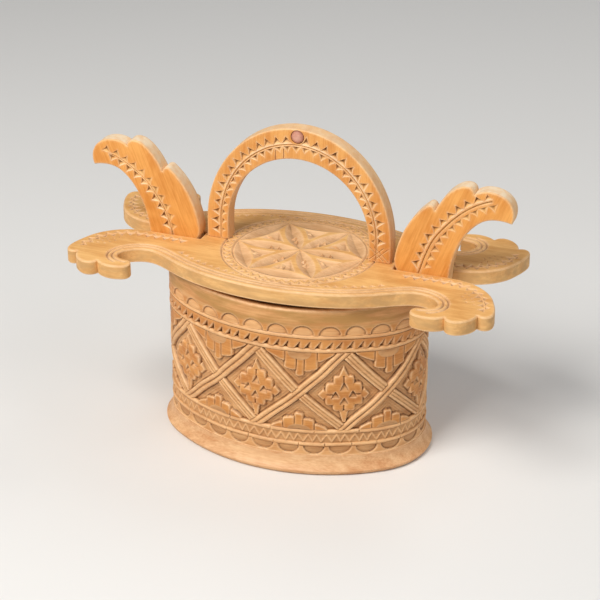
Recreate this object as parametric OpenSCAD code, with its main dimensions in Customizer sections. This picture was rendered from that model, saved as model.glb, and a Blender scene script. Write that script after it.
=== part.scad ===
// Oval bentwood box with a scroll-armed lid that is held between two springy leaf posts.
// Millimetres. X runs along the box, the front is -Y, Z is up and the table is at Z = 0.

/* [Side band] */
// Length of the oval band, outside
wall_len = 160; // [140:1:200]
// Width of the oval band, outside
wall_wid = 106; // [94:1:130]
// Thickness of the band
wall_t = 6; // [5:0.5:9]
// Height of the rim at the two ends, above the table
rim_h = 109.5; // [95:0.5:140]
// How far the rim dips in the middle of the long sides
rim_dip = 2.5; // [0.5:0.25:5]
// Height of the plain band below the rim
plain_h = 12.5; // [8:0.5:16]
// Height of each row of scallops
scallop_h = 6.2; // [4:0.2:8]
// Height of each ridge between the carved rows
ridge_h = 2.6; // [1.6:0.2:4]
// Height of each row of teeth
tooth_h = 6; // [4:0.2:8]
// Depth of the carved rows below the ridges
carve_in = 1.2; // [0.4:0.1:2]
// Number of diamonds in the lattice round the wide field
diamonds = 8; // [6:1:10]
// Width of the lattice's bars
bar_w = 6; // [4:0.5:8]
// Radius of the flower left standing in each diamond
flower_r = 12; // [8:0.5:13]
// Depth of the pockets between the bars
field_in = 1.6; // [0.8:0.1:2.2]
// Length of the slanted lap where the two ends of the band meet, at the back
lap_len = 17; // [12:1:18]
// Width of the glue line in that lap
lap_gap = 0.2; // [0.1:0.05:0.4]

/* [Bottom board] */
// How far the foot flares out past the band
foot_out = 4; // [2:0.5:8]
// Height of the moulded foot, which the band stands on
foot_h = 11.5; // [8:0.5:16]
// Radius of the rounded toe
toe_r = 3; // [1.5:0.5:4]
// Height of the plug that rises inside the band
plug_h = 8; // [6:0.5:14]

/* [Posts] */
// Thickness of a post
post_t = 10; // [7:0.5:13]
// Width of the stem inside the box, at its foot
stem_w = 11.5; // [10:0.5:15]
// Reach of a leaf, from the stem's inner edge to the tip
leaf_reach = 67; // [55:1:80]
// Rise of a leaf above the lid
leaf_rise = 57; // [45:1:70]
// How far the rounded nose leans in over the edge of the lid's slot
nose_in = 1.4; // [0.4:0.2:2.4]
// Angle that a post springs outwards
post_swing = 2; // [0.5:0.25:3]
// Depth of the socket in the bottom board that the post's foot stands in
socket_d = 2.5; // [1.5:0.5:4]

/* [Lid] */
// Thickness of the lid
lid_t = 9; // [7:0.5:12]
// Overhang of the lid past the band on the long sides
lid_over = 1.4; // [0:0.2:4]
// Reach of the scroll arms past the ends of the band
arm_reach = 49; // [40:1:60]
// How far the scroll arms stand out sideways past the lid
arm_flare = 3.4; // [0:0.2:8]

/* [Handle] */
// Rise of the handle above the lid
handle_rise = 75.5; // [62:0.5:90]
// Thickness of the handle
handle_t = 10; // [8:0.5:14]
// Width of each leg
leg_w = 13.5; // [11:0.5:16]
// Depth of the band of wood at the crown
crown_w = 18.5; // [14:0.5:22]
// Straight height of the legs, below the arch
arch_spring = 11.5; // [5:0.5:20]
// Space between a leg and the end of the lid's slot
leg_gap = 3; // [2:0.5:8]
// How far the handle stands behind the middle line
handle_back = 4; // [0:0.5:8]
// Width of the through tenon on each leg
tenon_w = 8; // [6:0.5:9]
// Thickness of the through tenon
tenon_t = 6; // [5:0.5:7]
// Width of the wedge's thick end
wedge_w = 2.2; // [1.5:0.1:3]
// Width of the wedge's thin end
wedge_tip = 0.8; // [0.4:0.1:1.2]
// Height of the wedge
wedge_h = 6.5; // [4:0.5:7]

/* [Pegs] */
// Diameter of the pegs that hold the bottom board
base_peg_d = 3.2; // [2.4:0.2:4]
// Length of those pegs inside the bottom board
base_peg_in = 10; // [6:1:16]
// Diameter of the pegs in the band's lap
lap_peg_d = 3.6; // [2.4:0.2:4.4]
// Number of pegs in the lap
lap_pegs = 5; // [3:1:7]
// Diameter of the peg that holds a post to the end of the band
post_peg_d = 5; // [4:0.2:6]
// Depth of that peg in the band
post_peg_in = 4; // [2.5:0.25:4]
// Diameter of the plug at the crown of the handle
crown_plug_d = 8; // [4:0.2:9]
// Wood left between that plug and the top of the crown
crown_plug_edge = 0.6; // [0.6:0.1:3]
// Depth of that plug
crown_plug_in = 7; // [4:0.5:7.5]
// How far the pegs and the plug stand out
peg_proud = 0.4; // [0:0.1:0.8]

/* [Clearances] */
// Between a piece and the hole or rim that holds it
joint_clear = 0.1; // [0.05:0.05:0.2]
// Between the bottom board's plug and the band
plug_clear = 0.2; // [0.1:0.05:0.4]
// Between moving pieces
move_clear = 0.35; // [0.25:0.05:0.6]
// Between a post and each side of the lid's slot
slot_clear = 0.6; // [0.4:0.1:1]
// Round a post's peg in the band, which tilts with the post
tilt_clear = 0.7; // [0.5:0.1:1]
// Between the lid and the rim
lid_clear = 0.3; // [0.2:0.05:0.5]

/* [Hidden] */
$fn = 96;
over = 1;
// Overlap of neighbouring sectors, as a share of the band's length, so that they grow together
hair = 0.0000001;
curve_steps = 6;
birch_pale = [0.84, 0.66, 0.42];
birch_gold = [0.87, 0.62, 0.29];
birch_pink = [0.78, 0.56, 0.40];
peg_brown = [0.62, 0.40, 0.28];

wall_a = wall_len / 2;
wall_b = wall_wid / 2;
inner_a = wall_a - wall_t;
inner_b = wall_b - wall_t;

// The oval is four arcs, whose centres lie on the corners of 3-4-5 triangles as a carver sets it out
tri = (wall_a - wall_b) / 2;
end_c = 3 * tri;
side_c = 4 * tri;
end_r = wall_b - tri;
side_r = end_r + 5 * tri;
meet = atan2(4, 3);

floor_z = foot_h + plug_h;
lid_z = rim_h + lid_clear;
lid_top = lid_z + lid_t;

// The stem stands just inside the end of the band and leans away from it by the angle it springs
stem_out = end_c + sqrt(pow(end_r - wall_t, 2) - pow(post_t / 2, 2)) - move_clear;
post_in = stem_out - stem_w;
foot_r = stem_w / 2;
hinge_x = post_in + foot_r;
hinge_z = floor_z - socket_d + move_clear + foot_r;
stem_lean = (rim_h - hinge_z) * tan(post_swing) + move_clear / 2;
shoulder_z = rim_h + (wall_a - hinge_x) * tan(post_swing) + 2 * move_clear;
slot_end = post_in - nose_in - move_clear;
slot_half = post_t / 2 + slot_clear;

handle_half = slot_end - leg_gap;
leg_x = handle_half - leg_w / 2;
arch_z = lid_top + arch_spring;
arch_rise = handle_rise - arch_spring;

lid_half = wall_b + lid_over;
arm_half = lid_half + arm_flare;

// Points of a cubic curve with the end points p, s and the handles q, r; the end point is left out
function curve(p, q, r, s) = [
    for (i = [0:curve_steps - 1])
        let (t = i / curve_steps, u = 1 - t)
            u * u * u * p + 3 * u * u * t * q + 3 * u * t * t * r + t * t * t * s
];
function reversed(points) = [for (i = [len(points) - 1:-1:0]) points[i]];
function mirrored(points, sx, sy) = [for (p = points) [sx * p[0], sy * p[1]]];

// A place on a scroll arm: u from the band's end to the arm's end, v from the middle line outwards
function arm(u, v) = [wall_a + u * arm_reach, v * arm_half];
// A place on the long edge of the lid: u along the band, v outwards
function edge(u, v) = [u * wall_a, v * lid_half];
// A place on a leaf: u from the stem's inner edge to the tip, v from the lid upwards
function leaf(u, v) = [post_in + u * leaf_reach, lid_top + v * leaf_rise];
// A place on the nose, which leans in from the stem's inner edge by a share of its lean
function nose(lean, v) = leaf(0, v) - [lean * nose_in, 0];
// A place on the shoulder over the rim: v upwards in lid thicknesses
function shoulder(u, v) = [post_in + u * leaf_reach, shoulder_z + v * lid_t];

// One quarter of the lid: slot, arm, three lobes, scroll tip, eye and long edge
quarter = concat(
    [[slot_end, slot_half]],
    curve([arm(0.31, 0)[0], slot_half], [arm(0.57, 0)[0], slot_half], arm(0.84, 0.24), arm(0.93, 0.47)),
    curve(arm(0.93, 0.47), arm(0.98, 0.57), arm(1.01, 0.66), arm(1.00, 0.73)),
    curve(arm(1.00, 0.73), arm(0.985, 0.80), arm(0.91, 0.83), arm(0.84, 0.79)),
    curve(arm(0.84, 0.79), arm(0.84, 0.92), arm(0.59, 1.09), arm(0.50, 0.925)),
    curve(arm(0.50, 0.925), arm(0.43, 0.99), arm(0.27, 1.03), arm(0.13, 0.96)),
    curve(arm(0.13, 0.96), arm(0.075, 0.93), arm(0.08, 0.84), arm(0.15, 0.82)),
    curve(arm(0.15, 0.82), arm(0.245, 0.813), arm(0.34, 0.787), arm(0.347, 0.71)),
    curve(arm(0.347, 0.71), arm(0.35, 0.614), arm(0.214, 0.528), arm(0.06, 0.524)),
    curve(arm(0.06, 0.524), arm(-0.09, 0.52), edge(0.825, 0.70), edge(0.70, 0.785)),
    curve(edge(0.70, 0.785), edge(0.5625, 0.8825), edge(0.3125, 1.0), edge(0, 1.0))
);
middle = [edge(0, 1.0)];

// The leaf from the stem's inner edge round the tip to the shoulder over the rim
leaf_edge = concat(
    curve([post_in, lid_top - move_clear], nose(0.8, 0.018), nose(1, 0.06), nose(1, 0.105)),
    curve(nose(1, 0.105), leaf(0.005, 0.325), leaf(0.087, 0.57), leaf(0.258, 0.733)),
    curve(leaf(0.258, 0.733), leaf(0.288, 0.752), leaf(0.31, 0.737), leaf(0.325, 0.693)),
    curve(leaf(0.325, 0.693), leaf(0.378, 0.833), leaf(0.49, 1.00), leaf(0.594, 0.991)),
    curve(leaf(0.594, 0.991), leaf(0.631, 0.988), leaf(0.654, 0.965), leaf(0.658, 0.921)),
    curve(leaf(0.658, 0.921), leaf(0.713, 0.982), leaf(0.848, 0.991), leaf(0.93, 0.918)),
    curve(leaf(0.93, 0.918), leaf(0.997, 0.86), leaf(1.019, 0.763), leaf(0.987, 0.661)),
    curve(leaf(0.987, 0.661), leaf(0.922, 0.684), leaf(0.818, 0.693), leaf(0.749, 0.649)),
    curve(leaf(0.749, 0.649), leaf(0.609, 0.561), leaf(0.519, 0.325), leaf(0.49, 0.167)),
    curve(leaf(0.49, 0.167), leaf(0.475, 0.088), leaf(0.469, 0.026), leaf(0.467, -0.05)),
    curve(leaf(0.467, -0.05), shoulder(0.465, 0.17), shoulder(0.43, 0), shoulder(0.36, 0)),
    [shoulder(0.36, 0)]
);
stem_edge = [
    [stem_out - stem_lean, shoulder_z],
    [stem_out - stem_lean, rim_h],
    [stem_out, hinge_z],
    [post_in, hinge_z]
];

// Heights of the steps in the band's outside, from the foot up
rows_h = scallop_h + ridge_h + tooth_h + ridge_h;
field_lo = foot_h + rows_h;
field_hi = rim_h - plain_h - rows_h;
// Width of the bottom board's outer part, inside the band's face
rim_w = 24;

// The band's face unrolled: a run is a length along it from the middle of the front, towards +X
long_run = side_r * (90 - meet) * PI / 180;
end_run = 2 * end_r * meet * PI / 180;
half_run = 2 * long_run + end_run;
function half_turns(run) = floor(run / half_run);
function on_half(run) = run - half_run * half_turns(run);
function at_end(run) = on_half(run) > long_run && on_half(run) < long_run + end_run;
function face_r(run) = at_end(run) ? end_r : side_r;
function turn_on_half(run) =
    run < long_run ? run / side_r * 180 / PI - 90
    : run < long_run + end_run ? (run - long_run) / end_r * 180 / PI - meet
    : (run - long_run - end_run) / side_r * 180 / PI + meet;
function centre_on_half(run) = run < long_run ? [0, side_c] : at_end(run) ? [end_c, 0] : [0, -side_c];
function face_turn(run) = turn_on_half(on_half(run)) + 180 * half_turns(run);
function face_centre(run) = pow(-1, half_turns(run)) * centre_on_half(on_half(run));
function face_place(run) = face_centre(run) + face_r(run) * [cos(face_turn(run)), sin(face_turn(run))];
function face_way(run) = [-sin(face_turn(run)), cos(face_turn(run))];
// Points of the unrolled face round a run, as they lie on the plane that touches the face there
function laid(run, points) = [
    for (p = points) [(face_place(run + p[0]) - face_place(run)) * face_way(run), p[1]]
];

// The lattice: a diamond fills the field's height and one pitch, and its pocket lies between the bars
pitch = 2 * half_run / diamonds;
lattice_at = -7;
field_mid = (field_lo + field_hi) / 2;
bar_run = norm([pitch, field_hi - field_lo]);
bar_rise = bar_w / 2 * bar_run / pitch;
pocket_w = pitch / 2 - bar_w / 2 * bar_run / (field_hi - field_lo);
pocket_h = (field_hi - field_lo) / 2 - bar_rise;
diamond = [[pocket_w, 0], [0, pocket_h], [-pocket_w, 0], [0, -pocket_h]];
flower = [for (a = [22.5:45:350]) flower_r * [cos(a), sin(a)]];
// Pocket in a corner of the lattice, from its tip at the crossing to the bunch of leaves at its base
function corner_pocket(side, base, middle, low) = [
    for (p = [
        [0, 0], [base, base], [0.38, base], [0.38, middle], [0.11, middle], [0.11, low],
        [-0.11, low], [-0.11, middle], [-0.38, middle], [-0.38, base], [-base, base]
    ])
        [p[0] * pocket_w, side * (bar_rise + p[1] * pocket_h)]
];

// A sector of the plan, from a centre of the oval outwards between two sides of its triangles
module sector(apex, side_1, side_2) {
    translate([0, 0, -over]) linear_extrude(height = floor_z + 2 * over)
        polygon([apex, apex + wall_len * side_1, apex + wall_len * side_2]);
}

// Carries an upright section round the oval; in the section X is the distance out from the band's face
module round_the_oval() {
    for (turn = [0, 180])
        rotate([0, 0, turn]) intersection() {
            translate([end_c, 0, 0]) rotate_extrude() translate([end_r, 0]) children();
            sector([end_c, 0], [0.6 - hair, -0.8], [0.6 - hair, 0.8]);
        }
    for (turn = [0, 180])
        rotate([0, 0, turn]) intersection() {
            translate([0, -side_c, 0]) rotate_extrude() translate([side_r, 0]) children();
            sector([0, -side_c], [1.2, 1.6], [-1.2, 1.6]);
        }
}

// The band's outside oval, grown outwards; the strip ends where the long arcs run into the end arcs
module oval(grow) {
    strip = 2 * (end_c + 0.6 * (end_r + grow));
    intersection() {
        translate([0, -side_c]) circle(r = side_r + grow);
        translate([0, side_c]) circle(r = side_r + grow);
        square([strip, wall_len], center = true);
    }
    for (side = [-1, 1])
        translate([side * end_c, 0]) circle(r = end_r + grow);
}

// A ring of the oval between two heights, from one distance inside or outside the band's face to another
module oval_ring(inner, outer, z0, z1) {
    translate([0, 0, z0]) linear_extrude(height = z1 - z0) difference() {
        oval(outer);
        oval(inner);
    }
}

// A shallow row cut into the outside of the band
module carved_row(z0, z1) {
    oval_ring(-carve_in, over, z0, z1);
}

// Holds a flat outline against the band's face at a run, and carries it straight in through the face
module into_face(run) {
    translate(concat(face_centre(run), [field_mid])) rotate([0, 0, face_turn(run)])
        translate([face_r(run), 0, 0]) rotate([90, 0, 90]) translate([0, 0, -2 * wall_t])
            linear_extrude(height = 2 * wall_t + over) children();
}

// The pockets of the lattice: one round each flower, and one above and below each crossing of the bars
module lattice_pockets() {
    intersection() {
        oval_ring(-field_in, over, field_lo, field_hi);
        for (i = [0:diamonds - 1]) {
            into_face(lattice_at + i * pitch) difference() {
                polygon(laid(lattice_at + i * pitch, diamond));
                polygon(laid(lattice_at + i * pitch, flower));
            }
            into_face(lattice_at + (i + 0.5) * pitch)
                polygon(laid(lattice_at + (i + 0.5) * pitch, corner_pocket(1, 0.71, 0.44, 0.26)));
            into_face(lattice_at + (i + 0.5) * pitch)
                polygon(laid(lattice_at + (i + 0.5) * pitch, corner_pocket(-1, 0.85, 0.67, 0.55)));
        }
    }
}

// The carved rows: scallops and teeth at the bottom, and the same rows at the top
module carved_rows() {
    carved_row(foot_h - over, foot_h + scallop_h);
    carved_row(foot_h + scallop_h + ridge_h, field_lo - ridge_h);
    carved_row(field_hi + ridge_h, field_hi + ridge_h + tooth_h);
    carved_row(rim_h - plain_h - scallop_h, rim_h - plain_h);
}

// A large cylinder lying across the box, whose underside is the dipped line of the rim
module rim_curve() {
    r = (pow(wall_a, 2) + pow(rim_dip, 2)) / (2 * rim_dip);
    translate([0, 0, rim_h - rim_dip + r]) rotate([90, 0, 0])
        cylinder(r = r, h = wall_wid + 2 * over, center = true, $fn = 360);
}

module lap_cut() {
    translate([0, wall_b - wall_t / 2, 0]) rotate([0, 0, -atan(wall_t / lap_len)])
        translate([-lap_len, -lap_gap / 2, foot_h - over])
            cube([2 * lap_len, lap_gap, rim_h + 2 * over]);
}

module lap_peg(d, grow) {
    for (i = [0:lap_pegs - 1])
        translate([0, inner_b - grow, field_lo + (i + 0.5) * (field_hi - field_lo) / lap_pegs])
            rotate([-90, 0, 0]) cylinder(d = d, h = wall_t - field_in + peg_proud + 2 * grow);
}

// Pegs through the back of the band into the plug, each square to the oval
module base_peg(d, grow) {
    for (share = [-0.75, -0.35, 0.35, 0.75])
        translate([0, -side_c, foot_h + plug_h / 2]) rotate([0, 90, 90 + share * (90 - meet)])
            translate([0, 0, side_r - wall_t - plug_clear - base_peg_in - grow])
                cylinder(d = d, h = base_peg_in + plug_clear + wall_t - carve_in + peg_proud + 2 * grow);
}

// The peg of the right post, on the post's turning line
module end_peg(d, grow) {
    translate([post_in - peg_proud - grow, 0, hinge_z]) rotate([0, 90, 0])
        cylinder(d = d, h = inner_a + post_peg_in - post_in + peg_proud + 2 * grow);
}

module both_ends() {
    children();
    mirror([1, 0, 0]) children();
}

module post_socket() {
    translate([hinge_x, 0, hinge_z]) rotate([90, 0, 0])
        cylinder(r = foot_r + move_clear, h = post_t + 2 * slot_clear, center = true);
}

// Section of the bottom board's outer part: rounded toe, cove and the plug inside the band
module foot_section() {
    cove_h = foot_h - toe_r;
    cove_in = foot_out - joint_clear;
    cove_r = (pow(cove_h, 2) + pow(cove_in, 2)) / (2 * cove_in);
    translate([-rim_w, 0]) square([rim_w + foot_out - toe_r, toe_r]);
    translate([foot_out - toe_r, toe_r]) intersection() {
        circle(r = toe_r);
        translate([0, -toe_r]) square([toe_r, toe_r]);
    }
    difference() {
        translate([-rim_w, toe_r]) square([rim_w + foot_out, cove_h]);
        translate([joint_clear + cove_r, foot_h]) circle(r = cove_r);
    }
    translate([-rim_w, foot_h]) square([rim_w - wall_t - plug_clear, plug_h]);
}

// The flat middle of the bottom board, which runs halfway into the outer part
module board_middle() {
    linear_extrude(height = floor_z) oval(-rim_w / 2);
}

module bottom_board() {
    color(birch_pale) difference() {
        union() {
            round_the_oval() foot_section();
            board_middle();
        }
        both_ends() post_socket();
        base_peg(base_peg_d + 2 * joint_clear, joint_clear);
    }
}

module side_band() {
    color(birch_pink) difference() {
        oval_ring(-wall_t, 0, foot_h, rim_h + over);
        carved_rows();
        lattice_pockets();
        rim_curve();
        lap_cut();
        lap_peg(lap_peg_d + 2 * joint_clear, over + field_in);
        base_peg(base_peg_d + 2 * joint_clear, over);
        both_ends() end_peg(post_peg_d + 2 * tilt_clear, move_clear);
    }
}

module base_pegs() {
    color(peg_brown) base_peg(base_peg_d, 0);
}

module lap_pegs_back() {
    color(peg_brown) lap_peg(lap_peg_d, 0);
}

module post() {
    difference() {
        union() {
            rotate([90, 0, 0]) linear_extrude(height = post_t, center = true)
                polygon(concat(leaf_edge, stem_edge));
            translate([hinge_x, 0, hinge_z]) rotate([90, 0, 0])
                cylinder(r = foot_r, h = post_t, center = true);
        }
        end_peg(post_peg_d + 2 * joint_clear, over);
    }
}

module right_post() {
    color(birch_gold) post();
}

module left_post() {
    color(birch_gold) mirror([1, 0, 0]) post();
}

module right_post_peg() {
    color(peg_brown) end_peg(post_peg_d, 0);
}

module left_post_peg() {
    color(peg_brown) mirror([1, 0, 0]) end_peg(post_peg_d, 0);
}

module lid_board() {
    outline = concat(
        quarter, middle, reversed(mirrored(quarter, -1, 1)),
        mirrored(quarter, -1, -1), mirrored(middle, 1, -1), reversed(mirrored(quarter, 1, -1))
    );
    color(birch_pale) difference() {
        translate([0, 0, lid_z]) linear_extrude(height = lid_t) polygon(outline);
        both_ends() tenon(joint_clear, over, over);
    }
}

// The right leg's tenon through the lid, which may run on below it and up into the leg
module tenon(grow, below, above) {
    translate([leg_x - tenon_w / 2 - grow, handle_back - tenon_t / 2 - grow, lid_z - below])
        cube([tenon_w + 2 * grow, tenon_t + 2 * grow, below + lid_t + above]);
}

// The right leg's wedge, thick end down
module wedge(shrink, extra) {
    thick = wedge_w / 2 - shrink;
    thin = wedge_tip / 2 - shrink;
    high = wedge_h - shrink;
    translate([leg_x, handle_back, lid_z]) rotate([90, 0, 0])
        linear_extrude(height = tenon_t + 2 * extra, center = true)
            polygon([[-thick, 0], [thick, 0], [thin, high], [-thin, high]]);
}

// One oval of the arch with straight legs below it
module arch(half_w, rise, extra) {
    translate([0, handle_back, arch_z]) {
        intersection() {
            rotate([90, 0, 0]) scale([1, rise / half_w, 1])
                cylinder(r = half_w, h = handle_t + 2 * extra, center = true);
            translate([-half_w - over, -handle_t, 0])
                cube([2 * half_w + 2 * over, 2 * handle_t, rise + over]);
        }
        translate([-half_w, -handle_t / 2 - extra, -arch_spring - extra])
            cube([2 * half_w, handle_t + 2 * extra, arch_spring + extra]);
    }
}

module crown_bore(d, grow) {
    plug_z = lid_top + handle_rise - crown_plug_edge - crown_plug_d / 2;
    translate([0, handle_back - handle_t / 2 - grow, plug_z]) rotate([-90, 0, 0])
        cylinder(d = d, h = crown_plug_in + grow);
}

module handle() {
    color(birch_gold) difference() {
        union() {
            arch(handle_half, arch_rise, 0);
            both_ends() tenon(0, 0, over);
        }
        arch(handle_half - leg_w, arch_rise - crown_w, over);
        both_ends() wedge(0, over);
        crown_bore(crown_plug_d + 2 * joint_clear, over);
    }
}

module right_handle_wedge() {
    color(birch_pink) wedge(joint_clear, 0);
}

module left_handle_wedge() {
    color(birch_pink) mirror([1, 0, 0]) wedge(joint_clear, 0);
}

module crown_plug() {
    color(peg_brown) crown_bore(crown_plug_d, peg_proud);
}

bottom_board();
side_band();
base_pegs();
lap_pegs_back();
left_post();
left_post_peg();
right_post();
right_post_peg();
lid_board();
handle();
left_handle_wedge();
right_handle_wedge();
crown_plug();
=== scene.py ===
import math
import bmesh
import bpy
import numpy as np
from mathutils import Matrix, Vector
from mathutils.geometry import delaunay_2d_cdt
from mathutils.kdtree import KDTree


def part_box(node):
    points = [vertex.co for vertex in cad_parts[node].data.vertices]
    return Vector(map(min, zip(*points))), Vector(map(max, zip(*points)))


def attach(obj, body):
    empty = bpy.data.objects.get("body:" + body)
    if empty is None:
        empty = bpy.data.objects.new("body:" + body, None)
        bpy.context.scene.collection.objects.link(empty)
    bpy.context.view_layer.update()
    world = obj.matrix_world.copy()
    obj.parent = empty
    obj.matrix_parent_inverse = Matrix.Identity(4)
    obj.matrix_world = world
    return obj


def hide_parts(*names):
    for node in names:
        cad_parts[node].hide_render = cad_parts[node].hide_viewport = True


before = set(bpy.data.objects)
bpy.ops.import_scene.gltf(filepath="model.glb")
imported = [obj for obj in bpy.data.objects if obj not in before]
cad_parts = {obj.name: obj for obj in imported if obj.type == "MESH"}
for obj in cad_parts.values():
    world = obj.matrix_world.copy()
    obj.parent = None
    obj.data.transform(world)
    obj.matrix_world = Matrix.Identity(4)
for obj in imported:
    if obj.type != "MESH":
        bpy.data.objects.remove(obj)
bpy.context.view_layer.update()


# Bottom board. One thick birch board with a plug that fills the lower end of the band. Its foot flares out
# past the band, is rounded at the toe and hollowed above it with a gouge, and is pegged to the band behind.
mm = 0.001


# Lowest and highest corner of a node, in millimetres
def box_of(node):
    return [np.array(corner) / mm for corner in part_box(node)]


band_low, band_high = box_of("side_band")
board_high = box_of("bottom_board")[1]
half_long = band_high[0]
half_wide = band_high[1]
foot_top = band_low[2]
floor_top = board_high[2]
flare = board_high[0] - half_long
toe = 3.0
band_thick = 6.0
plug_play = 0.2
moulding_wide = 30.0

# The oval is four arcs set out with a compass on 3-4-5 triangles
third = (half_long - half_wide) / 2
end_centre = 3 * third
side_centre = 4 * third
end_radius = half_wide - third
side_radius = end_radius + 5 * third
side_turn = math.atan2(3, 4)
side_run = side_radius * side_turn
end_run = end_radius * (math.pi - 2 * side_turn)
whole_run = 4 * side_run + 2 * end_run


# Place on the oval: run is the length along the band's face from the middle of the front, towards the right
def oval_place(run):
    far = np.abs(run)
    side = np.where(run < 0, -1.0, 1.0)
    front = np.where(far < side_run, -1.0, 1.0)
    turn = np.where(far < side_run, far, whole_run / 2 - far) / side_radius
    side_x = side_radius * np.sin(turn)
    side_y = front * (side_radius * np.cos(turn) - side_centre)
    swing = (far - side_run) / end_radius + side_turn - math.pi / 2
    end_x = end_centre + end_radius * np.cos(swing)
    end_y = end_radius * np.sin(swing)
    at_end = (far >= side_run) & (far <= side_run + end_run)
    return side * np.where(at_end, end_x, side_x), np.where(at_end, end_y, side_y)


def mesh_object(name, points, faces, edges=()):
    mesh = bpy.data.meshes.new(name)
    mesh.from_pydata(points, edges, faces)
    mesh.update()
    piece = bpy.data.objects.new(name, mesh)
    bpy.context.scene.collection.objects.link(piece)
    return piece


# Keeps what the modifiers make of a piece as its plain mesh
def made_plain(piece):
    shaped = piece.evaluated_get(bpy.context.evaluated_depsgraph_get())
    mesh = bpy.data.meshes.new_from_object(shaped)
    piece.modifiers.clear()
    piece.data = mesh


# Shapes a piece by a tree, whose inputs are set by their identifiers
def shaped_by(piece, tree, **sizes):
    modifier = piece.modifiers.new(tree.name, "NODES")
    modifier.node_group = tree
    for item in tree.interface.items_tree:
        name = item.name.lower().replace(" ", "_")
        if item.in_out == "INPUT" and name in sizes:
            modifier[item.identifier] = sizes[name]
    made_plain(piece)


# Turns a piece's faces outwards, after its open ends are closed where that is asked
def turned_outwards(piece, close=False):
    shell = bmesh.new()
    shell.from_mesh(piece.data)
    if close:
        bmesh.ops.holes_fill(shell, edges=[edge for edge in shell.edges if edge.is_boundary], sides=0)
    bmesh.ops.recalc_face_normals(shell, faces=shell.faces)
    shell.to_mesh(piece.data)
    shell.free()


# Smooths a piece up to its creases, hides the node that it stands for, and hangs it on the body that it rides
# on
def finished(piece, node, body, crease=None):
    if crease:
        piece.data.shade_smooth()
        piece.data.set_sharp_from_angle(angle=math.radians(crease))
    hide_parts(node)
    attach(piece, body)


# A new tree of nodes, with the sockets that it is given and those of its result
def new_tree(name, kind, inputs, outputs):
    tree = bpy.data.node_groups.new(name, kind)
    for way, sockets in (("INPUT", inputs), ("OUTPUT", outputs)):
        for socket, value in sockets.items():
            tree.interface.new_socket(socket, in_out=way, socket_type="NodeSocket" + value)
    return tree, tree.nodes.new("NodeGroupInput").outputs, tree.nodes.new("NodeGroupOutput").inputs


# A node with its settings, and with each input linked to a socket or set to a value
def node_of(tree, kind, inputs=None, **settings):
    node = tree.nodes.new(kind)
    for key, value in settings.items():
        setattr(node, key, value)
    for key, value in (inputs or {}).items():
        if isinstance(value, bpy.types.NodeSocket):
            tree.links.new(value, node.inputs[key])
        else:
            node.inputs[key].default_value = value
    return node


def maths(tree, kind, *values, clamp=False):
    node = node_of(tree, "ShaderNodeMath", dict(enumerate(values)), operation=kind, use_clamp=clamp)
    return node.outputs[0]


def vector_maths(tree, kind, *values):
    return node_of(tree, "ShaderNodeVectorMath", dict(enumerate(values)), operation=kind).outputs[0]


def blend(tree, share, first, second):
    return node_of(tree, "ShaderNodeMix", {0: share, 6: first, 7: second}, data_type="RGBA").outputs[2]


# Noise drawn out along the grain, which runs along X of the place
def streaks(tree, place, stretch, detail, roughness=0.5, twist=0.0):
    drawn = vector_maths(tree, "MULTIPLY", place, stretch)
    noise = node_of(
        tree, "ShaderNodeTexNoise",
        {"Vector": drawn, "Scale": 1.0, "Detail": detail, "Roughness": roughness, "Distortion": twist},
    )
    return noise.outputs["Fac"]


# Growth bands, fibres and mottling of planed birch; place is in millimetres
def birch_grain_tree():
    tree, given, result = new_tree(
        "birch grain", "ShaderNodeTree",
        {"Place": "Vector", "Pale": "Color", "Deep": "Color", "Figure": "Float"},
        {"Colour": "Color", "Fibre": "Float"},
    )
    growth = streaks(tree, given["Place"], (0.012, 0.16, 0.16), 5.0, 0.6, twist=0.5)
    fibres = streaks(tree, given["Place"], (0.07, 1.3, 1.3), 4.0, 0.6)
    mottle = streaks(tree, given["Place"], (0.05, 0.09, 0.09), 4.0, 0.6, twist=0.4)
    shade = maths(tree, "MULTIPLY", growth, 0.35)
    shade = maths(tree, "MULTIPLY_ADD", fibres, 0.3, shade)
    shade = maths(tree, "MULTIPLY_ADD", mottle, 0.35, shade)
    shade = maths(tree, "SUBTRACT", shade, 0.5)
    shade = maths(tree, "MULTIPLY_ADD", shade, given["Figure"], 0.5, clamp=True)
    tree.links.new(blend(tree, shade, given["Pale"], given["Deep"]), result["Colour"])
    tree.links.new(fibres, result["Fibre"])
    return tree


# A tint in patches where a value of the surface asks for it: dust and painted shade in hollows, bare wood and
# painted highlights on edges and crests
def patchy_tint_tree(name, stretch, detail, patch_from, patch_full):
    tree, given, result = new_tree(
        name, "ShaderNodeTree",
        {
            "Place": "Vector", "Colour": "Color", "Where": "Float", "Tint": "Color", "Amount": "Float",
            "Least": "Float",
        },
        {"Colour": "Color"},
    )
    noise = streaks(tree, given["Place"], stretch, detail)
    patch = node_of(
        tree, "ShaderNodeMapRange", {0: noise, 1: patch_from, 2: patch_full, 3: given["Least"], 4: 1.0},
    )
    share = maths(tree, "MULTIPLY", given["Where"], given["Amount"])
    cover = maths(tree, "MULTIPLY", share, patch.outputs[0], clamp=True)
    tree.links.new(blend(tree, cover, given["Colour"], given["Tint"]), result["Colour"])
    return tree


birch_grain = birch_grain_tree()
patchy_tint = patchy_tint_tree("patchy tint", (0.048, 0.192, 0.192), 4.0, 0.38, 0.6)
wear_and_highlight_patches = patchy_tint_tree("wear and highlight patches", (0.3, 0.3, 0.3), 3.0, 0.35, 0.65)


# A colour of a paint chart, 0 to 255 each, in the linear values that nodes take
def colour_of(red, green, blue):
    shade = [value / 255 for value in (red, green, blue)]
    return [v / 12.92 if v < 0.04045 else ((v + 0.055) / 1.055) ** 2.4 for v in shade] + [1.0]
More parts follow.
